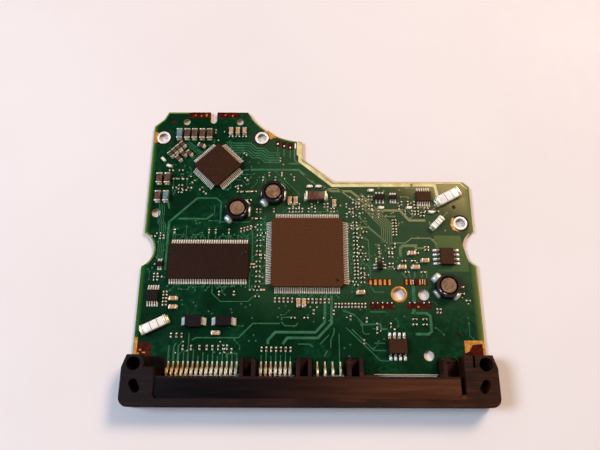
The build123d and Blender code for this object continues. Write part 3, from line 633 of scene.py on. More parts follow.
# chips with metal ends, in three kinds: bars whose ends are nodes of their own, those ends, and whole
# chips whose ends are drawn here. A rounding and its power are those of roundedBars; solder lies at
# each end, with its reach in mm and other sizes as shares; beads lie beyond the ends drawn here
chips = dict(
    rounding=0.07, capPower=0.34, solderReach=0.24, solderLimit=1.6, solderShift=0.2, solderLength=1.9,
    solderWidth=0.94, solderRise=0.5, endShare=0.22, endSwell=1.04, endRounding=0.05, endPower=0.4,
    beadShift=0.04, beadSize=(0.34, 1.05, 0.6), middleShare=0.736, middleRounding=0.04, sides=8,
    # on the sensors, as shares of their length and width, then width, rise and depth in mm
    dividers=(-0.2, 0.16), dividerReach=0.42, dividerWidth=0.16, dividerTop=0.012, dividerFoot=-0.03,
    withCaps=(
        ("bulk_capacitor", "bulkChip", brownCeramic, "ceramic_brown"),
        ("large_capacitors", "largeChips", brownCeramic, "ceramic_brown"),
        ("varistors", "varistorChips", blueCeramic, "ceramic_blue"),
        ("medium_capacitors", "mediumChips", tanCeramic, "ceramic_tan"),
        ("filter_capacitors", "filterChips", brownCeramic, "ceramic_brown"),
        ("shock_sensor_bars", "shockSensorBars", whiteCeramic, "ceramic_white"),
    ),
    caps=(("chip_end_caps", "chipEndCaps"), ("shock_sensor_caps", "shockSensorEnds")),
    whole=(
        ("small_capacitors", "smallCapacitorChips", brownCeramic, "ceramic_brown"),
        ("small_resistors", "smallResistorChips", resistorGlass, "resistor_black"),
        ("ferrite_beads", "beadChips", whiteCeramic, "ceramic_white"),
    ),
)


def buildChips():
    middles, solder = [], []
    for node, name, material, slot in chips["withCaps"]:
        centres, along, sizes = chipFrames(node)
        bars = roundedBars(centres, along, sizes, chips["rounding"])
        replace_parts(addSurface(name, bars, material), node)
        middles.append(centres[:, :2])
    middles = np.concatenate(middles)
    for node, name in chips["caps"]:
        centres, along, sizes = chipFrames(node)
        bars = roundedBars(centres, along, sizes, chips["rounding"], chips["capPower"])
        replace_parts(addSurface(name, bars, endCap), node)
        # outwards is away from the nearest chip's middle
        apart = centres[:, None, :2] - middles[None]
        nearest = np.argmin(np.linalg.norm(apart, axis=2), axis=1)
        out = unit(apart[np.arange(len(centres)), nearest])
        lengthways = np.abs((along * out).sum(axis=1)) > 0.7
        half = np.where(lengthways, sizes[:, 0], sizes[:, 1]) / 2
        across = np.where(lengthways, sizes[:, 1], sizes[:, 0])
        # the solder reaches further at a wider chip, up to a limit
        reach = chips["solderReach"] * np.minimum(chips["solderLimit"], (1 + across) / 2)
        place = raised(centres[:, :2] + out * (half + reach * chips["solderShift"])[:, None])
        length, width, rise = (chips["solder" + side] for side in ("Length", "Width", "Rise"))
        solder += list(pillows(place, out, stacked(reach * length, across * width, sizes[:, 2] * rise)))
    for node, name, material, slot in chips["whole"]:
        centres, along, sizes = chipFrames(node)
        middle = sizes * (chips["middleShare"], 1, 1)
        bars = roundedBars(centres, along, middle, chips["middleRounding"], sides=chips["sides"])
        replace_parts(addSurface(name, bars, material), node)
        length, width, rise = chips["beadSize"]
        for side in (-1, 1):
            end = sizes * (chips["endShare"], chips["endSwell"], chips["endSwell"])
            places = centres + raised(along * side * (sizes[:, :1] - end[:, :1]) / 2)
            rounding, power = chips["endRounding"], chips["endPower"]
            solder += list(roundedBars(places, along, end, rounding, power, chips["sides"]))
            places = raised(centres[:, :2] + along * side * (sizes[:, :1] / 2 + chips["beadShift"]))
            solder += list(pillows(places, along, stacked(length, sizes[:, 1] * width, sizes[:, 2] * rise)))
    addSurface("chipSolder", solder, endCap)
    # dark dividing lines on top of the shock sensors
    centres, along, sizes = chipFrames("shock_sensor_bars")
    lines = []
    for share in chips["dividers"]:
        middle = centres[:, :2] + along * sizes[:, :1] * share
        across = leftOf(along) * sizes[:, 1:2] * chips["dividerReach"]
        for start, end, top in zip(middle - across, middle + across, centres[:, 2] + sizes[:, 2]):
            height, foot = top + chips["dividerTop"], top + chips["dividerFoot"]
            lines.append(track([start, end], chips["dividerWidth"], height, foot))
    addSurface("sensorDividers", lines, fluxedCopper, smooth=False)


buildChips()
print("chips ready")

# solder under the toes of every lead: how far each pad goes inwards and outwards from the toe, its
# height and its width as a share of the lead's; then node, points of one lead in it, length and
# height of the solder and its width as a share of the lead's
leadSolder = dict(
    padInwards=0.75, padReach=0.45, padHeight=0.03, padWidth=1.5, beadShift=0.1,
    rows=(
        ("controller_leads", 30, 0.5, 0.12, 1.1), ("memory_leads", 30, 0.55, 0.14, 1.15),
        ("motor_driver_leads", 30, 0.5, 0.12, 1.1), ("flash_leads", 36, 1.3, 0.5, 2.0),
        ("power_switch_leads", 36, 1.3, 0.5, 2.0), ("regulator_leads", 30, 0.5, 0.16, 1.15),
        ("sensor_amplifier_leads", 30, 0.5, 0.16, 1.15), ("transistor_leads", 30, 0.5, 0.2, 1.2),
    ),
)
toes = {}


def buildLeadSolder():
    beads, pads = [], []
    inwards, outwards = leadSolder["padInwards"], leadSolder["padReach"]
    for node, corners, length, height, spread in leadSolder["rows"]:
        toe, out, width = leadFrames(node, corners)
        toes[node] = toe, out
        places = raised(toe + out * leadSolder["beadShift"])
        beads += list(pillows(places, out, stacked(length, width * spread, height)))
        for start, end, wide in zip(toe - out * inwards, toe + out * outwards, width):
            pads.append(track([start, end], wide * leadSolder["padWidth"], leadSolder["padHeight"]))
    addSurface("leadSolder", beads, levelledSolder)
    addSurface("leadPads", pads, mattTin, smooth=False)


buildLeadSolder()
print("lead solder ready")

# copper under the mask: its height, and that of the edge tracks and of the wide areas as a share of
# it; then width and corner points of each track, and bundles with count and pitch
routes = dict(
    height=0.035, borderRise=2.0, pourRise=0.7,
    single=(
        (0.6, (-32, 57.3), (-39.6, 50), (-39.6, 36)),
        (0.45, (-32, 57.3), (-26.5, 57.3), (-25.1, 56), (-25.1, 50.1), (-17, 50.1), (-15.5, 51.2)),
        (0.5, (-37, 51), (-29, 51), (-27.2, 52.4)),
        (0.2, (-26.9, 52.4), (-26.9, 55.2)),
        (0.25, (-26.6, 29.8), (-24, 27.3), (-16.5, 27.3), (-15, 28.8)),
        (0.35, (-31, 17), (-29.8, 17.6), (-18.7, 17.6), (-15, 21.4), (-7.8, 21.4)),
        (0.3, (-38.1, 45), (-38.1, 48.6)), (0.3, (-28.2, 45), (-28.2, 48.6)),
        (0.3, (-26.2, 45), (-26.2, 48.4)), (0.3, (-22.5, 45), (-22.5, 48.2)),
        (0.25, (-19.2, 47), (-17.4, 45)), (0.25, (-18.5, 47), (-16.8, 45)),
        (0.35, (-16.4, 49), (-15.8, 46.5), (-15.8, 36), (-16.3, 35), (-16.3, 30.2)),
        (0.5, (-40.3, 56), (-39.9, 54)),
        (0.3, (-28, 76.2), (-28.2, 75)),
        (0.2, (-9.3, 65.3), (-3, 58.9), (-2.8, 58)),
        (0.25, (-8.7, 63.6), (-5.5, 60)),
        (0.6, (-17, 66.3), (-2.7, 66.3)), (0.5, (-6, 68.3), (-2.5, 68.3)), (0.4, (-19.5, 66), (-17.5, 66.3)),
        (0.7, (-2.7, 66), (1, 62.5), (6.5, 59.6), (12, 59.6), (16.5, 55.8), (18.7, 53.7), (26, 53.7),
         (28.4, 50.7), (33, 50.7)),
        (0.5, (10, 48.6), (16.8, 48.6), (22, 43.8)),
        (0.35, (22.5, 44), (27, 44), (28.8, 45.4), (34, 45.4), (35.8, 43.6)),
        (0.3, (15.5, 45.4), (16.6, 44.8), (16.8, 38), (16.8, 31.5), (17.8, 30), (20.5, 30)),
        (0.3, (22.9, 43), (22.9, 40.5), (23.6, 39.5)),
        (0.8, (25.4, 40), (25.4, 42.5), (26.2, 43.2), (29.8, 43.2), (29.8, 42.3)),
        (0.5, (30, 42.5), (33.6, 42.5)),
        (0.4, (25.5, 35.5), (26.8, 33.9)), (0.4, (27.2, 36), (27.7, 34)), (0.4, (29, 35.8), (29, 34)),
        (0.4, (31.5, 36), (30.8, 34)), (0.4, (32.3, 36), (32.2, 34)),
        (0.9, (28.4, 31.8), (28.4, 27.3)),
        (0.7, (28.3, 24.3), (31.5, 24.3), (32.5, 23.4), (32.5, 19.4), (31.6, 18.7), (28.2, 18.7)),
        (0.9, (28.2, 25.5), (28.2, 24)),
        (0.5, (9, 25), (12, 23.8), (14.5, 21.2), (19, 21.3), (19.2, 20), (20.8, 20)),
        (0.3, (12.2, 23.6), (14.2, 21), (14.2, 19.3), (14.9, 18.6), (16, 18.8)),
        (0.3, (9.8, 20.4), (16.8, 13.6), (18.5, 11.8), (20.8, 11.7)),
        (0.3, (11.3, 20), (17, 14.4), (20.3, 14.4)), (0.3, (17.2, 16.3), (20, 16.3)),
        (0.7, (-10.9, 16), (-10.9, 17), (-9, 19.1), (1.7, 19.1), (4.2, 21.8), (4.3, 29)),
        (0.7, (-7, 16), (-5.8, 17.6), (2.3, 17.6), (6, 21.5), (6.1, 29)),
        (0.25, (7.9, 11.5), (7.9, 18.7)),
        (0.3, (5.7, 15), (5.7, 17), (6.6, 19), (6.6, 20.3)), (0.3, (3.9, 12.8), (4.8, 14.3)),
        (0.3, (2.9, 16), (5.3, 18.5)), (0.3, (-3, 16), (0, 16), (1, 15.3)),
        (0.35, (-36.9, 11.4), (-36.9, 15.6)), (0.35, (-35.6, 11.4), (-35.6, 15.2), (-35, 16.2)),
        (0.35, (-34.4, 11.4), (-34.4, 15.4), (-33.2, 16.8)), (0.35, (-31.8, 11.4), (-31.8, 19)),
        (0.35, (-21.7, 12.4), (-21.7, 13.5), (-19, 13.5), (-19, 12.4)),
        (0.3, (-9.2, 73.7), (-9.2, 71.6), (-10, 70.8)), (0.3, (-7.3, 73), (-7.3, 70.6)),
        (0.3, (-5.5, 72.6), (-5.5, 70.2)), (0.45, (-4.2, 72.8), (-4.2, 69.6), (-3.2, 68.4)),
        (0.4, (-1.4, 64.6), (4.4, 60.4), (8.2, 60.4), (12.6, 57)),
        (0.3, (13.6, 56.6), (20.4, 51.9), (24.6, 51.9)),
        (0.3, (-7.4, 22.3), (-7.4, 23), (-4.9, 23.1)),
        (0.3, (-7.4, 21.8), (-6.5, 20.8), (-3.5, 20.8), (-3, 21.6)),
        (0.4, (16.4, 24.6), (20.8, 24.6)), (0.3, (33, 27.5), (34, 27.3), (34.6, 26.4)),
    ),
    # straight up from the feet of the terminals: width, start, and ends taken in turn
    footRuns=(0.28, 11.3, (13.2, 14.6, 12.9, 13.8)),
    bundles=(
        (0.22, 4, 0.5, (-42, 56), (-42, 50), (-41.3, 49), (-41.3, 39)),
        (0.4, 5, 0.78, (-23.5, 73.4), (-17.8, 73.4), (-16, 71.7), (-13.8, 71.7), (-12.2, 70.2), (-8.5, 70.2)),
        (0.25, 3, 0.6, (-36, 74.9), (-33.8, 73.2), (-32, 71)),
        (0.22, 6, 0.55, (14, 58), (21.8, 49.2), (21.8, 44)),
    ),
    # tall tracks near the far edge, under thin mask, pale partly from the copper and partly from a painted
    # highlight
    border=(
        (0.95, (-2.6, 71.8), (-2.6, 69.1), (6.8, 61.35), (29.4, 61.5)),
        (0.85, (30, 61.5), (36.4, 61.5), (37.0, 58.2)),
        (0.3, (-1.9, 69.0), (7.2, 62.15), (43.8, 62.15), (45.7, 60.4)),
    ),
    # wide copper areas: corner points
    pours=(
        ((35, 46.2), (42.4, 46.2), (42.8, 44), (44, 39), (44, 35.8), (35.4, 35.8)),
        ((-12.6, 50.4), (-11.6, 48.6), (-11.6, 44.4), (-14.4, 44.4), (-14.4, 49.6)),
    ),
)


def buildTracks():
    height = routes["height"]
    grids = [track(points, width, height) for width, *points in routes["single"]]
    for width, count, pitch, *points in routes["bundles"]:
        grids += [track(path, width, height) for path in bundle(points, count, pitch)]
    width, start, ends = routes["footRuns"]
    for node in ("power_terminals", "signal_terminals"):
        for number, x in enumerate(solids(node, terminalPoints)[:, :, 0].mean(axis=1)):
            grids.append(track(((x, start), (x, ends[number % len(ends)])), width, height))
    addSurface("coveredTracks", grids, coveredTrack, smooth=False)
    border = [track(points, width, height * routes["borderRise"]) for width, *points in routes["border"]]
    addSurface("borderTracks", border, borderTrack, smooth=False)
    pours = [slab(points, height * routes["pourRise"]) for points in routes["pours"]]
    addSurface("copperPours", pours, widePour, smooth=False)


buildTracks()

# short lines from lead toes to vias: share of the leads that have one, reach and width
fanOuts = dict(
    share=0.62, reach=(0.5, 2.4), width=0.17,
    rows=("controller_leads", "motor_driver_leads", "memory_leads", "sensor_amplifier_leads"),
)
# vias: each patch is left, right, front, back and how many are tried, on a grid; spacing is between
# two middles, in radii; links join two of them
vias = dict(
    radius=0.26, hole=0.1, height=0.04, sides=12, grid=0.3, margin=0.1, spacing=2.3,
    links=90, linkReach=(2.0, 8.0), linkWidth=0.17,
    patches=(
        (10.8, 16.6, 30, 58, 60), (-40.5, -33.6, 58, 70, 26), (-18.5, -8, 60, 71, 26),
        (15, 30, 48, 60.6, 36), (17, 24.6, 36, 44, 20), (-16, -11.8, 30, 52, 26), (-44.6, -39.2, 33, 50, 20),
        (-38, -17, 45.2, 50.6, 20), (-38, -12, 24, 31.4, 16), (-10, 8, 19, 29, 22), (-22, -10, 17, 27, 8),
        (8, 28, 12, 27, 20), (30, 44, 44, 57, 16), (32, 44, 16, 27, 6), (-36, -14, 13, 17, 8),
    ),
)
screwHoles, ringedHole = ((-43.3, 76.7), (-14.0, 76.7), (42.8, 49.9)), (24.4, 29.4)
# holes, notches and round or turned bodies: x, y, radius
keepClear = (
    *((x, y, 2.8) for x, y in screwHoles), (-36.65, 82.0, 1.0), (-20.65, 82.0, 1.0), (-43.5, 52.7, 1.25),
    (*ringedHole, 2.4), (31.1, 29.3, 1.6), (31.4, 13.1, 1.5), (-48.5, 41.9, 5.6), (48.5, 42.4, 5.6),
    (-10.2, 58.3, 3.4), (-20.2, 53.3, 3.4), (37.4, 31.3, 3.4), (-26.5, 67.3, 7.0),
)
# bodies that lie along x and y: the motor driver is turned by 45 degrees, so keepClear has a circle for it
squareBodies = [row[0] for row in bodies["rows"] if row[0] != "motor_driver_body"]
chipNodes = (
    "small_capacitors", "small_resistors", "medium_capacitors", "large_capacitors", "filter_capacitors",
    "ferrite_beads", "chip_end_caps", "shock_sensor_bars", "varistors",
)


# True for the points at least margin from every hole
def offHoles(points, margin):
    clear = np.ones(points.shape[:-1], dtype=bool)
    for x, y, radius in keepClear:
        clear &= np.linalg.norm(points - (x, y), axis=-1) > radius + margin
    return clear


# True for the points that stand clear of the holes and of the bodies and chips listed above
def clearOf(points, margin):
    clear = offHoles(points, margin)
    for node in squareBodies:
        low, high = (np.array(corner[:2]) / mm - (0, matingFace / mm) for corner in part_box(node))
        clear &= ~((points > low - margin) & (points < high + margin)).all(axis=1)
    for node in chipNodes:
        centres, along, sizes = chipFrames(node)
        apart = points[:, None] - centres[None, :, :2]
        lengthways = np.abs((apart * along[None, :, :2]).sum(axis=2)) - sizes[:, 0] / 2
        across = np.abs(apart[..., 1] * along[:, 0] - apart[..., 0] * along[:, 1]) - sizes[:, 1] / 2
        clear &= ~((lengthways < margin) & (across < margin)).any(axis=1)
    return clear


# path from start to end: first at 45 degrees, then straight
def octilinear(start, end):
    step = end - start
    diagonal = np.sign(step) * np.abs(step).min()
    return np.stack([start, start + diagonal * 0.999, end])


# those of the pieces that are nearer than gap to an earlier one
def crowdedOut(places, gap):
    near = np.linalg.norm(places[:, None] - places[None], axis=2) < gap
    return np.tril(near, -1).any(axis=1)


def buildVias():
    places, stubs = [], []
    for node in fanOuts["rows"]:
        toe, out = toes[node]
        chosen = rng.random(len(toe)) < fanOuts["share"]
        toe, out = toe[chosen], out[chosen]
        reach = rng.uniform(*fanOuts["reach"], len(toe))[:, None]
        lean = rng.integers(-1, 2, len(toe))[:, None]
        knee = toe + out * reach / 2
        end = knee + (out + leftOf(out) * lean) * reach / 2
        clear = clearOf(end, vias["radius"])
        for path in np.stack([toe, knee, end], axis=1)[clear]:
            stubs.append(track(path, fanOuts["width"], routes["height"]))
        places.append(end[clear])
    for left, right, front, back, count in vias["patches"]:
        tried = stacked(rng.uniform(left, right, count), rng.uniform(front, back, count))
        tried = np.round(tried / vias["grid"]) * vias["grid"]
        places.append(tried[clearOf(tried, vias["radius"] + vias["margin"])])
    places = np.concatenate(places)
    rim, hole, height = vias["radius"], vias["hole"], vias["height"]
    places = places[~crowdedOut(places, vias["spacing"] * rim)]
    # a low cap, drawn in a little towards its top, with a hollow in the middle
    profile = [(rim, 0), (rim * 0.94, height), (hole * 1.5, height), (hole, 0.01)]
    addSurface("viaCaps", turned(profile, places, vias["sides"]), coveredTrack)
    near, far = vias["linkReach"]
    free = np.ones(len(places), dtype=bool)
    for first in rng.permutation(len(places))[:vias["links"]]:
        apart = np.linalg.norm(places - places[first], axis=1)
        within = np.flatnonzero(free & (apart > near) & (apart < far))
        if free[first] and len(within):
            second = within[np.argmin(apart[within])]
            path = octilinear(places[first], places[second])
            along = np.concatenate([np.linspace(path[i], path[i + 1], 12) for i in (0, 1)])
            # no link over a hole, and none whose first or second run has no length
            lengths = np.linalg.norm(np.diff(path, axis=0), axis=1)
            if offHoles(along, vias["margin"]).all() and lengths.min() > 0.01:
                stubs.append(track(path, vias["linkWidth"], routes["height"]))
                free[[first, second]] = False
    addSurface("fanOutTracks", stubs, coveredTrack, smooth=False)


buildVias()
print("tracks and vias ready")

# two-ended chips of the smallest size in the crowded places, in rows and columns with gaps, and
# lone solder dots among them: left, right, front, back, the share of places taken, and whether they
# stand along y. Apart, margin and toeGap are kept from each other, from other bodies and from lead
# toes; a bead of solder lies beyond each end, its size as shares of the end's
crowd = dict(
    size=(1.1, 0.48, 0.36), pitch=(0.9, 1.45), jitter=0.08, apart=0.85, margin=0.45, toeGap=0.9,
    middleShare=0.7, middleRounding=0.03, ends=0.22, swell=1.05, endRounding=0.04, endPower=0.4, sides=8,
    beadAt=1.35, beadSize=(1.1, 1.05, 0.6), dots=0.25, dotSize=(0.4, 0.34, 0.14),
    clusters=(
        (-10, 15, 52.2, 57.2, 0.5, True), (24, 34, 35.6, 43, 0.22, False),
        (-40.2, -33.4, 59.6, 66, 0.3, False), (-16, -4, 63.4, 66.2, 0.36, True),
        (-12, -4, 68, 70.6, 0.2, True), (14.4, 20, 51.6, 57.6, 0.5, True),
        (25.6, 31.6, 53, 58.4, 0.5, True), (30.6, 37, 52.5, 60.4, 0.4, False),
        (2, 12, 57.6, 60.4, 0.2, True), (11.4, 16, 31, 50, 0.3, False),
        (-15.6, -12, 28.6, 51.6, 0.26, False), (-43.6, -40, 34, 50, 0.16, False),
        (-36, -20.6, 13.6, 19, 0.14, True), (-6, 12, 23, 28.2, 0.16, True),
        (-30.6, -22, 73, 79.4, 0.24, True), (13.6, 26, 16.6, 23, 0.12, True),
        (18.6, 24.6, 36, 44, 0.28, True), (-20, -14.6, 56.6, 62, 0.4, False),
        (38.6, 43, 25, 33, 0.1, False), (-33, -20.4, 14.2, 15.2, 0.95, True),
    ),
    # the kind of each is drawn between 0 and 1: name, from, to, finish and slot
    kinds=(
        ("tinyResistors", 0.0, 0.58, resistorGlass, "resistor_black"),
        ("tinyBrownCapacitors", 0.58, 0.93, brownCeramic, "ceramic_brown"),
        ("tinyTanCapacitors", 0.93, 1.01, tanCeramic, "ceramic_tan"),
    ),
)


def buildCrowd():
    found, standing = [], []
    for left, right, front, back, share, upright in crowd["clusters"]:
        across, lengthways = crowd["pitch"] if upright else crowd["pitch"][::-1]
        columns, rows = np.arange(left, right, across), np.arange(front, back, lengthways)
        spots = stacked(*np.meshgrid(columns, rows)).reshape(-1, 2)
        taken = spots[rng.random(len(spots)) < share]
        found.append(taken + rng.uniform(-crowd["jitter"], crowd["jitter"], taken.shape))
        standing.append(np.full(len(taken), upright))
    places, upright = np.concatenate(found), np.concatenate(standing)
    clear = clearOf(places, crowd["margin"])
    for toe, out in toes.values():
        gaps = np.linalg.norm(places[:, None] - toe[None], axis=2)
        clear &= gaps.min(axis=1) > crowd["toeGap"]
    places, upright = places[clear], upright[clear]
    alone = ~crowdedOut(places, crowd["apart"])
    places, upright = places[alone], upright[alone]
    lone = rng.random(len(places)) < crowd["dots"]
    centres, along = raised(places), stacked(~upright, upright).astype(float)
    ends = list(pillows(centres[lone], along[lone], crowd["dotSize"]))
    centres, along = centres[~lone], along[~lone]
    drawn = rng.random(len(centres))
    length, width, height = crowd["size"]
    for name, low, high, material, slot in crowd["kinds"]:
        kind = (drawn >= low) & (drawn < high)
        middle = (length * crowd["middleShare"], width, height)
        bars = roundedBars(
            centres[kind], along[kind], middle, crowd["middleRounding"], sides=crowd["sides"]
        )
        addSurface(name, bars, material)
    end = np.array([crowd["ends"], width * crowd["swell"], height * crowd["swell"]])
    rounding, power = crowd["endRounding"], crowd["endPower"]
    for side in (-1, 1):
        shift = raised(along * side * (length - crowd["ends"]) / 2)
        ends += list(roundedBars(centres + shift, along, end, rounding, power, crowd["sides"]))
        ends += list(pillows(centres + shift * crowd["beadAt"], along, end * crowd["beadSize"]))
    addSurface("tinySolder", ends, endCap)


buildCrowd()
print("small parts ready")


# points of an arc from start to end that bulges to the left of its chord by rise
def bow(start, end, rise, steps=18):
    start, end = np.asarray(start, float), np.asarray(end, float)
    chord = np.linalg.norm(end - start)
    radius = (chord * chord / 4 + rise * rise) / (2 * abs(rise))
    half = math.asin(min(1.0, chord / 2 / radius))
    angle = np.linspace(-half, half, steps + 1)
    ahead = (end - start) / chord
    left = leftOf(ahead) * np.sign(rise)
    run, lift = radius * np.sin(angle), radius * (np.cos(angle) - math.cos(half))
    return list(start + (chord / 2 + run)[:, None] * ahead + lift[:, None] * left)


# the mask stops short of the routed edge all round: the height of what is bare, its width, then the
# outline with the board on its right
edgeHeight = 0.012
edgeRuns = (
    (0.42, [(-46.25, 13.0), (-46.25, 37.0)] + bow((-46.25, 37.0), (-46.25, 46.8), -3.1)
     + [(-46.25, 80.4), (-43.55, 82.85), (-42.35, 85.3), (-29.6, 85.3)]),
    (0.34, [(-27.7, 85.3), (-18.4, 85.3)] + bow((-18.4, 85.3), (-2.7, 75.5), -2.35)
     + [(-2.1, 75.3), (-1.9, 74.7), (-1.9, 69.7), (7.1, 62.6), (44.55, 62.6), (46.25, 60.9), (46.25, 47.3)]
     + bow((46.25, 47.3), (46.25, 37.5), -3.1) + [(46.25, 13.0)]),
)
# rings round the holes: name, centres, inner and outer radius and finish; how deep they go into the
# hole, the width of their shoulders, and the crown as a share of the height; flux lies round them
lands = dict(
    height=0.09, sides=48, depth=-0.4, shoulder=0.12, crown=1.15,
    rings=(
        ("solderedLands", screwHoles, 1.35, 2.02, brightLand),
        ("flashedLand", (ringedHole,), 1.6, 2.25, flashedCopper),
    ),
    flux=(2.0, 2.5), fluxHeight=0.03,
)
# gold-coloured copper that runs from a hole's ring to the board's edge
goldPatches = (
    ((-46.2, 74.9), (-46.2, 78.5), (-45.0, 78.4), (-44.7, 76.7), (-45.0, 75.0)),
    ((-13.4, 78.9), (-12.2, 79.2), (-10.6, 77.7), (-9.6, 76.9), (-11.6, 76.2), (-12.0, 77.8)),
    ((40.5, 48.0), (40.0, 49.3), (40.4, 51.2), (41.1, 51.6), (40.7, 49.8), (41.4, 48.0), (42.6, 47.2)),
    ((40.9, 13.8), (42.0, 14.2), (43.0, 15.9), (45.6, 16.2), (45.7, 13.0), (46.2, 13.0), (46.2, 17.05),
     (40.9, 17.05)),
)
# copper and solder on the bare pads: gold-coloured, then bright, then dark flux, each as centre x,
# centre y, length and width
padDetail = dict(
    gold=(
        (-45.7, 15.2, 0.9, 5.0), (-44.4, 14.4, 0.7, 0.5), (-43.4, 13.7, 0.8, 0.4), (-44.9, 13.4, 0.5, 0.7),
        (18.1, 32.7, 0.7, 1.8), (19.4, 32.7, 0.75, 1.8), (20.7, 32.7, 0.6, 1.8), (22.0, 32.7, 0.6, 1.8),
        (16.8, 32.6, 0.6, 1.6), (26.6, 32.8, 0.45, 1.7), (27.8, 32.8, 0.4, 1.7), (30.3, 32.8, 0.4, 1.7),
        (31.6, 32.8, 0.35, 1.7), (-30.9, 84.3, 0.5, 1.0), (-32.4, 84.1, 0.4, 0.6), (-25.2, 84.4, 0.4, 0.6),
        (-23.0, 84.1, 0.35, 0.8), (-34.2, 84.2, 0.3, 0.5), (29.4, 26.0, 0.5, 0.5), (19.8, 25.9, 0.4, 0.7),
    ),
    bright=(
        (-9.2, 74.7, 0.5, 0.6), (-7.3, 74.0, 0.5, 0.6), (-5.5, 73.5, 0.5, 0.7), (-4.0, 74.0, 0.5, 2.1),
        (17.2, 27.0, 0.35, 0.45), (18.5, 27.0, 0.35, 0.45), (19.8, 27.1, 0.4, 0.4), (21.1, 27.0, 0.35, 0.45),
        (22.3, 27.0, 0.35, 0.45), (27.1, 27.1, 0.35, 0.45), (28.5, 27.1, 0.35, 0.45), (31.0, 27.1, 0.5, 0.4),
        (32.4, 27.2, 0.35, 0.45), (28.4, 32.8, 0.22, 1.6), (31.0, 32.9, 0.22, 1.6),
    ),
    flux=(
        (19.3, 32.7, 6.6, 2.0), (29.1, 32.8, 6.6, 2.0), (19.7, 26.3, 6.6, 2.0), (29.7, 26.4, 6.6, 2.0),
        (-33.0, 84.3, 6.4, 1.95), (-24.3, 84.3, 6.4, 1.95), (-9.2, 74.9, 1.3, 2.3), (-7.3, 74.3, 1.4, 2.3),
        (-5.5, 73.9, 1.4, 2.3), (-41.4, 11.6, 5.0, 2.3),
    ),
    goldTop=0.075, brightTop=0.2, fluxTop=0.02, goldName="flashedPads", fluxName="fluxedPads",
)
# mask lies thin and pale on the copper to the right of the motor pads, and in a line between the two
# clips on the right
thin = dict(
    areas=(((-3.5, 75.6), (-2.0, 74.8), (-2.0, 69.9), (-3.6, 71.2)),), areaTop=0.05,
    line=((16.8, 8.3), (33.4, 8.3)), lineWidth=0.16, lineTop=0.03,
)
# dark plastic round the foot of each board clip, painted shade that hides the floor seen through the shaded
# gap between clip and board: middle and half width of each, how far back, and its depth below the board's
# top; a dark block of painted shade fills the shaded corner beside the left ear, flush with the board
shadeFills = dict(
    heel=((-41.6, 7.3), (-37.5, 7.3), (-37.5, 12.2), (-38.1, 12.8), (-41.6, 12.8)), heelTop=0.08,
    places=((-15.74, 2.44), (-1.45, 2.44), (11.55, 2.44), (36.05, 2.82)), front=7.4, back=12.46,
    corner=0.9, cut=0.27, top=-0.25, bottom=-0.9,
)
# sighting dots for the placing machine: places, radius, and share of the radius and height up the side
sightingDots = dict(
    places=((-40.7, 82.0), (41.4, 54.8), (39.75, 18.7)), radius=0.55,
    profile=((1.0, 0.0), (0.96, 0.03), (0.5, 0.035)), sides=24,
)


def buildBareEdge():
    bare = []
    for width, outline in edgeRuns:
        path, side = mitre(outline)
        bare.append(track(path - side * width / 2, width, edgeHeight))
    addSurface("bareBoardEdge", bare, bareEdge, smooth=False)


def buildLands():
    rise, fluxRise, shoulder = lands["height"], lands["fluxHeight"], lands["shoulder"]
    for name, centres, inner, outer, material in lands["rings"]:
        # up the wall of the hole, over the crown, down into the board and back inside it
        section = [
            (inner, lands["depth"]), (inner, rise * 0.5), (inner + shoulder, rise),
            ((inner + outer) / 2, rise * lands["crown"]), (outer - shoulder, rise),
            (outer, 0.0), (outer, -0.05), (inner + 0.04, lands["depth"]),
        ]
        piece = addSurface(
            name, turned(section, centres, lands["sides"]), material, ringed=True
        )
        if name == "solderedLands":
            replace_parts(piece, "hole_lands")
    inner, outer = lands["flux"]
    section = [(inner, 0), (inner, fluxRise), (outer - 0.05, fluxRise), (outer, 0)]
    margins = turned(section, screwHoles, lands["sides"])
    addSurface("fluxedMargins", margins, fluxedCopper, ringed=True)


def buildPads():
    for kind, material in (("gold", flashedCopper), ("flux", fluxedCopper)):
        areas = [track([(x - length / 2, y), (x + length / 2, y)], width, padDetail[kind + "Top"])
                 for x, y, length, width in padDetail[kind]]
        addSurface(padDetail[kind + "Name"], areas, material, smooth=False)
    areas = np.array(padDetail["bright"])
    beads = pillows(raised(areas), (1, 0), raised(areas[:, 2:], padDetail["brightTop"]))
    addSurface("padSolder", beads, levelledSolder)


def buildShadeFills():
    front, back, corner, cut = (shadeFills[name] for name in ("front", "back", "corner", "cut"))
    darkFills = []
    for middle, half in shadeFills["places"]:
        right = np.array([
            (half, front), (half, back - corner), (half - cut, back - cut), (half - corner, back),
        ])
        outline = np.concatenate([right, right[::-1] * (-1, 1)]) + (middle, 0)
        darkFills.append(slab(outline, shadeFills["top"], shadeFills["bottom"]))
    darkFills.append(slab(shadeFills["heel"], shadeFills["heelTop"], shadeFills["bottom"]))
    # dark pieces that stand in for shade: the shaded gaps round the clips and the shaded corner by the left
    # ear
    addSurface("clipSkirts", darkFills, shadedNylon, smooth=False)


def buildPatches():
    pale = [slab(points, thin["areaTop"]) for points in thin["areas"]]
    pale.append(track(thin["line"], thin["lineWidth"], thin["lineTop"]))
    addSurface("thinMaskAreas", pale, borderTrack, smooth=False)
    patches = [slab(points, padDetail["goldTop"]) for points in goldPatches]
    addSurface("goldPatches", patches, flashedCopper, smooth=False)
    profile = [(sightingDots["radius"] * share, rise) for share, rise in sightingDots["profile"]]
    dots = turned(profile, sightingDots["places"], sightingDots["sides"])
    addSurface("sightingDots", dots, fluxedCopper)


buildBareEdge()
buildLands()
buildPads()
buildShadeFills()
buildPatches()

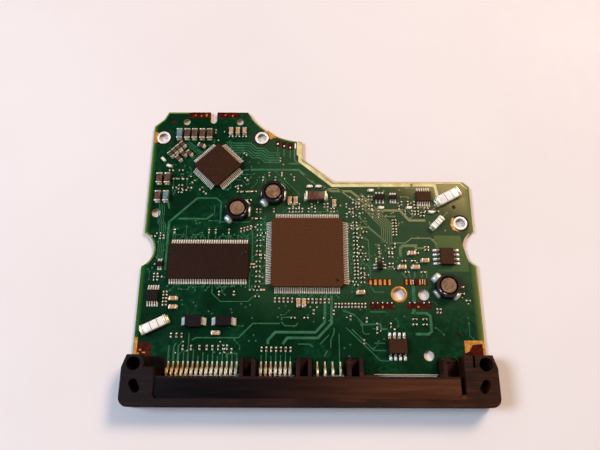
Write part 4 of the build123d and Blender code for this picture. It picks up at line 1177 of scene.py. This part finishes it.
# inductor winding: enamelled wire in close turns on the drum, under its top flange
winding = dict(radius=1.95, wire=0.26, turns=8, steps=6, bottom=0.06, top=2.1, sides=32)
drum = dict(radius=2.05, rim=0.6, top=2.9, edge=0.09, hub=1.2, face=0.3, sides=48)
inductorPlaces = solids("inductor_frames", framePoints)[:, :, :2].mean(axis=1)
# solder at the feet of the frame: direction in degrees from x, how far out, and length, width and
# height of each bead, for one inductor after the other
bothShoulders = (225, 3.5, (2.0, 2.7, 1.3)), (45, 3.35, (1.4, 2.2, 1.3))
frameSolder = (
    (*bothShoulders, (-6, 3.2, (0.9, 3.2, 1.2)), (168, 3.25, (0.7, 2.4, 1.1))),
    (*bothShoulders, (-4, 3.2, (0.9, 3.2, 1.2)), (150, 3.35, (1.1, 1.8, 1.2))),
    ((135, 3.6, (2.3, 3.0, 1.4)), (-45, 3.45, (1.7, 2.4, 1.3)), (214, 3.35, (1.0, 2.6, 1.2))),
)
# pale arcs laid over the frame, painted highlights where the winding's edge catches the light: radius,
# height, thickness, where each of the two starts and how far it goes in degrees, and the direction of their
# middle at each inductor
wireEnds = dict(
    radius=(2.85, 2.65), height=2.88, thickness=0.15, starts=(-24, 4), sweep=20, towards=(-50, -40, 227),
)


# unit direction at so many degrees from x, or one for each of several
def heading(degrees):
    return stacked(np.cos(np.radians(degrees)), np.sin(np.radians(degrees)))


def buildInductors():
    # the winding's profile bulges by half a wire at each turn: |sin| of the height
    level = np.linspace(winding["bottom"], winding["top"], winding["turns"] * winding["steps"] + 1)
    turns = (level - level[0]) / (level[-1] - level[0]) * winding["turns"]
    bulge = np.abs(np.sin(np.pi * turns))
    profile = stacked(winding["radius"] - winding["wire"] / 2 * (1 - bulge), level)
    coils = turned(profile, inductorPlaces, winding["sides"])
    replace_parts(addSurface("wireWindings", coils, enamelWire), "inductor_windings")
    radius, edge, top = drum["radius"], drum["edge"], drum["top"]
    rim, bevel = top - drum["rim"], edge * 0.3
    profile = [
        (drum["hub"], 0), (drum["hub"], rim), (radius - edge, rim), (radius, rim + edge),
        (radius, top - edge), (radius - bevel, top - bevel), (radius - edge, top),
        (radius - drum["face"], top),
    ]
    drums = turned(profile, inductorPlaces, drum["sides"])
    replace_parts(addSurface("ferriteDrums", drums, tanFerrite), "inductor_drums")
    beads, ends = [], []
    for centre, shoulders, turn in zip(inductorPlaces, frameSolder, wireEnds["towards"]):
        for direction, reach, size in shoulders:
            out = heading(direction)
            beads += list(pillows(raised([centre + reach * out]), out, size))
        for start, away in zip(wireEnds["starts"], wireEnds["radius"]):
            path = centre + away * heading(turn + start + np.linspace(0, wireEnds["sweep"], 7))
            low, thickness = wireEnds["height"], wireEnds["thickness"]
            ends.append(track(path, thickness, low + thickness, low))
    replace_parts(addSurface("inductorSolder", beads, levelledSolder), "inductor_strips")
    # painted highlights on the edge of each winding
    addSurface("wireEnds", ends, windingHighlight)


buildInductors()

# stamped terminals: node, name, shape and thickness; along each shape, from the socket to the foot,
# the reach behind the mating face, the height and the width; and the reach and size of their solder
terminals = dict(
    sides=8, power=0.3, solderAt=11.05, solder=(1.0, 0.46, 0.24),
    rows=(
        ("power_terminals", "powerContacts", "contact", 0.25),
        ("signal_terminals", "signalContacts", "contact", 0.25),
        ("jumper_pins", "jumperWires", "pin", 0.42),
    ),
    contact=(
        (1.1, 1.5, 0.5), (6.9, 1.5, 0.5), (7.1, 1.5, 1.0), (7.35, 1.5, 0.95), (7.55, 1.5, 0.55),
        (8.1, 1.5, 0.5), (8.35, 1.5, 0.78), (8.7, 1.5, 0.78), (8.9, 1.47, 0.5), (9.2, 1.35, 0.82),
        (9.6, 0.9, 0.82), (9.9, 0.3, 0.7), (10.2, 0.04, 0.5), (11.2, 0.0, 0.36),
    ),
    pin=(
        (1.0, 1.5, 0.55), (7.0, 1.5, 0.6), (7.5, 1.5, 0.65), (8.3, 1.5, 0.6), (9.0, 1.45, 0.6),
        (9.5, 1.0, 0.7), (9.9, 0.3, 0.6), (10.4, 0.0, 0.45), (11.2, 0.0, 0.32),
    ),
)


# strip along (reach, height) stations, its section a rounded rectangle of each station's width that
# stands square to the way the strip runs
def strips(stations, places, thickness):
    reach, height, width = np.asarray(stations, dtype=float).T[..., None]
    sectionX, sectionZ = roundedSection(terminals["sides"], terminals["power"])
    ahead, up = np.moveaxis(unit(np.gradient(stacked(reach, height), axis=0)), -1, 0)
    x = np.asarray(places)[:, None, None] + sectionX * width
    y = reach - sectionZ * thickness * up
    z = height + thickness / 2 + sectionZ * thickness * ahead
    return stacked(x, y, z)


def buildTerminals():
    feet = []
    for node, name, shape, thickness in terminals["rows"]:
        places = solids(node, terminalPoints)[:, :, 0].mean(axis=1)
        pieces = strips(terminals[shape], places, thickness)
        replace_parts(addSurface(name, pieces, plating), node)
        feet += [(x, terminals["solderAt"]) for x in places]
    beads = pillows(raised(feet), (0, 1), terminals["solder"])
    addSurface("terminalSolder", beads, levelledSolder)


buildTerminals()
print("edges, inductors and terminals ready")

# bench top, light and camera
bench = dict(light="#F3E9E7", shade="#EDE2DF", size=3.0, cloud=90.0, gloss=(3.0, 0.55, 0.7))


def buildBench():
    half = bench["size"] / 2
    mesh = bpy.data.meshes.new("benchTop")
    corners = [(-half, -half, 0), (half, -half, 0), (half, half, 0), (-half, half, 0)]
    mesh.from_pydata(corners, [], [(0, 1, 2, 3)])
    top = bpy.data.objects.new("benchTop", mesh)
    bpy.context.scene.collection.objects.link(top)
    material, tree, shader, place = startFinish("paleLacqueredBench")
    colour = mottle(tree, place, bench["shade"], bench["light"], bench["cloud"])
    tree.links.new(colour, shader.inputs["Base Color"])
    roughen(tree, shader, place, *bench["gloss"])
    mesh.materials.append(material)


# a cool and a warm soft lamp at about 45 degrees, left and far right, that add up to near white;
# level is what each gives a white floor at the middle. A warm panel makes the glare on the right,
# and the room is dark overhead
lamps = dict(
    cool=dict(level=0.53, place=(-0.80, 0.0, 0.84), size=0.44, colour="#CFE6FF"),
    warm=dict(level=0.48, place=(0.76, 0.84, 1.08), size=0.54, colour="#FFE3C8"),
    panel=dict(radiance=1.3, colour="#FFDDB4", left=0.05, right=0.36, front=0.15, back=0.40, height=0.60),
    room=dict(
        overhead="#505056", left="#BCC6DA", right="#F0DCC4", strength=0.55,
        sides=(-0.7, 0.7), rise=(0.45, 0.9),
    ),
)


# soft lamp in the scene: its kind of area, colour and power
def addLamp(name, shape, colour, energy):
    soft = bpy.data.lights.new(name, "AREA")
    soft.shape, soft.energy, soft.color = shape, energy, linear(colour)[:3]
    lamp = bpy.data.objects.new(name, soft)
    bpy.context.scene.collection.objects.link(lamp)
    return lamp, soft


def buildLight():
    for name in ("cool", "warm"):
        choice = lamps[name]
        place = Vector(choice["place"])
        # power for the level: the light on the floor falls with the square of the lamp's distance,
        # and with its slant
        energy = choice["level"] * (math.pi * place.length) ** 2 / (place.z / place.length)
        lamp, soft = addLamp(name + "Lamp", "DISK", choice["colour"], energy)
        soft.size = choice["size"]
        lamp.location = place
        lamp.rotation_euler = (-place).to_track_quat("-Z", "Y").to_euler()
    warm = lamps["panel"]
    across, along = warm["right"] - warm["left"], warm["back"] - warm["front"]
    energy = warm["radiance"] * math.pi * across * along
    sheet, panel = addLamp("warmPanel", "RECTANGLE", warm["colour"], energy)
    panel.size, panel.size_y = across, along
    sheet.location = (warm["left"] + across / 2, warm["front"] + along / 2, warm["height"])
    world = bpy.data.worlds.new("room")
    world.use_nodes = True
    bpy.context.scene.world = world
    tree = world.node_tree
    background = next(node for node in tree.nodes if node.type == "BACKGROUND")
    room = lamps["room"]
    around = addNode(tree, "ShaderNodeTexCoord").outputs["Generated"]
    axes = addNode(tree, "ShaderNodeSeparateXYZ", {"Vector": around}).outputs
    side, rise = (
        addNode(tree, "ShaderNodeMapRange", {
            "Value": axes[axis], "From Min": low, "From Max": high,
        }, interpolation_type=growth)
        for axis, (low, high), growth in (("X", room["sides"], "LINEAR"), ("Z", room["rise"], "SMOOTHSTEP"))
    )
    sky = layered(tree, room["left"], (side, room["right"]), (rise, room["overhead"]))
    tree.links.new(sky, background.inputs["Color"])
    background.inputs["Strength"].default_value = room["strength"]


# place on the board, tilt and roll in degrees, focal length and sensor in mm
view = dict(place=(-2.53, -3.4, 151.1), tilt=19.2, roll=0.2, lens=33.96, sensor=36.0)


def buildCamera():
    camera = bpy.data.cameras.new("camera")
    camera.lens, camera.sensor_width, camera.clip_start = view["lens"], view["sensor"], 0.005
    holder = bpy.data.objects.new("camera", camera)
    holder.matrix_world = (
        Matrix.Translation(toModel(view["place"]).tolist())
        @ Matrix.Rotation(math.radians(view["tilt"]), 4, "X")
        @ Matrix.Rotation(math.radians(view["roll"]), 4, "Z")
    )
    bpy.context.scene.collection.objects.link(holder)
    bpy.context.scene.camera = holder


buildBench()
buildLight()
buildCamera()
bpy.context.scene.view_settings.view_transform = "Standard"
print("light and camera ready")
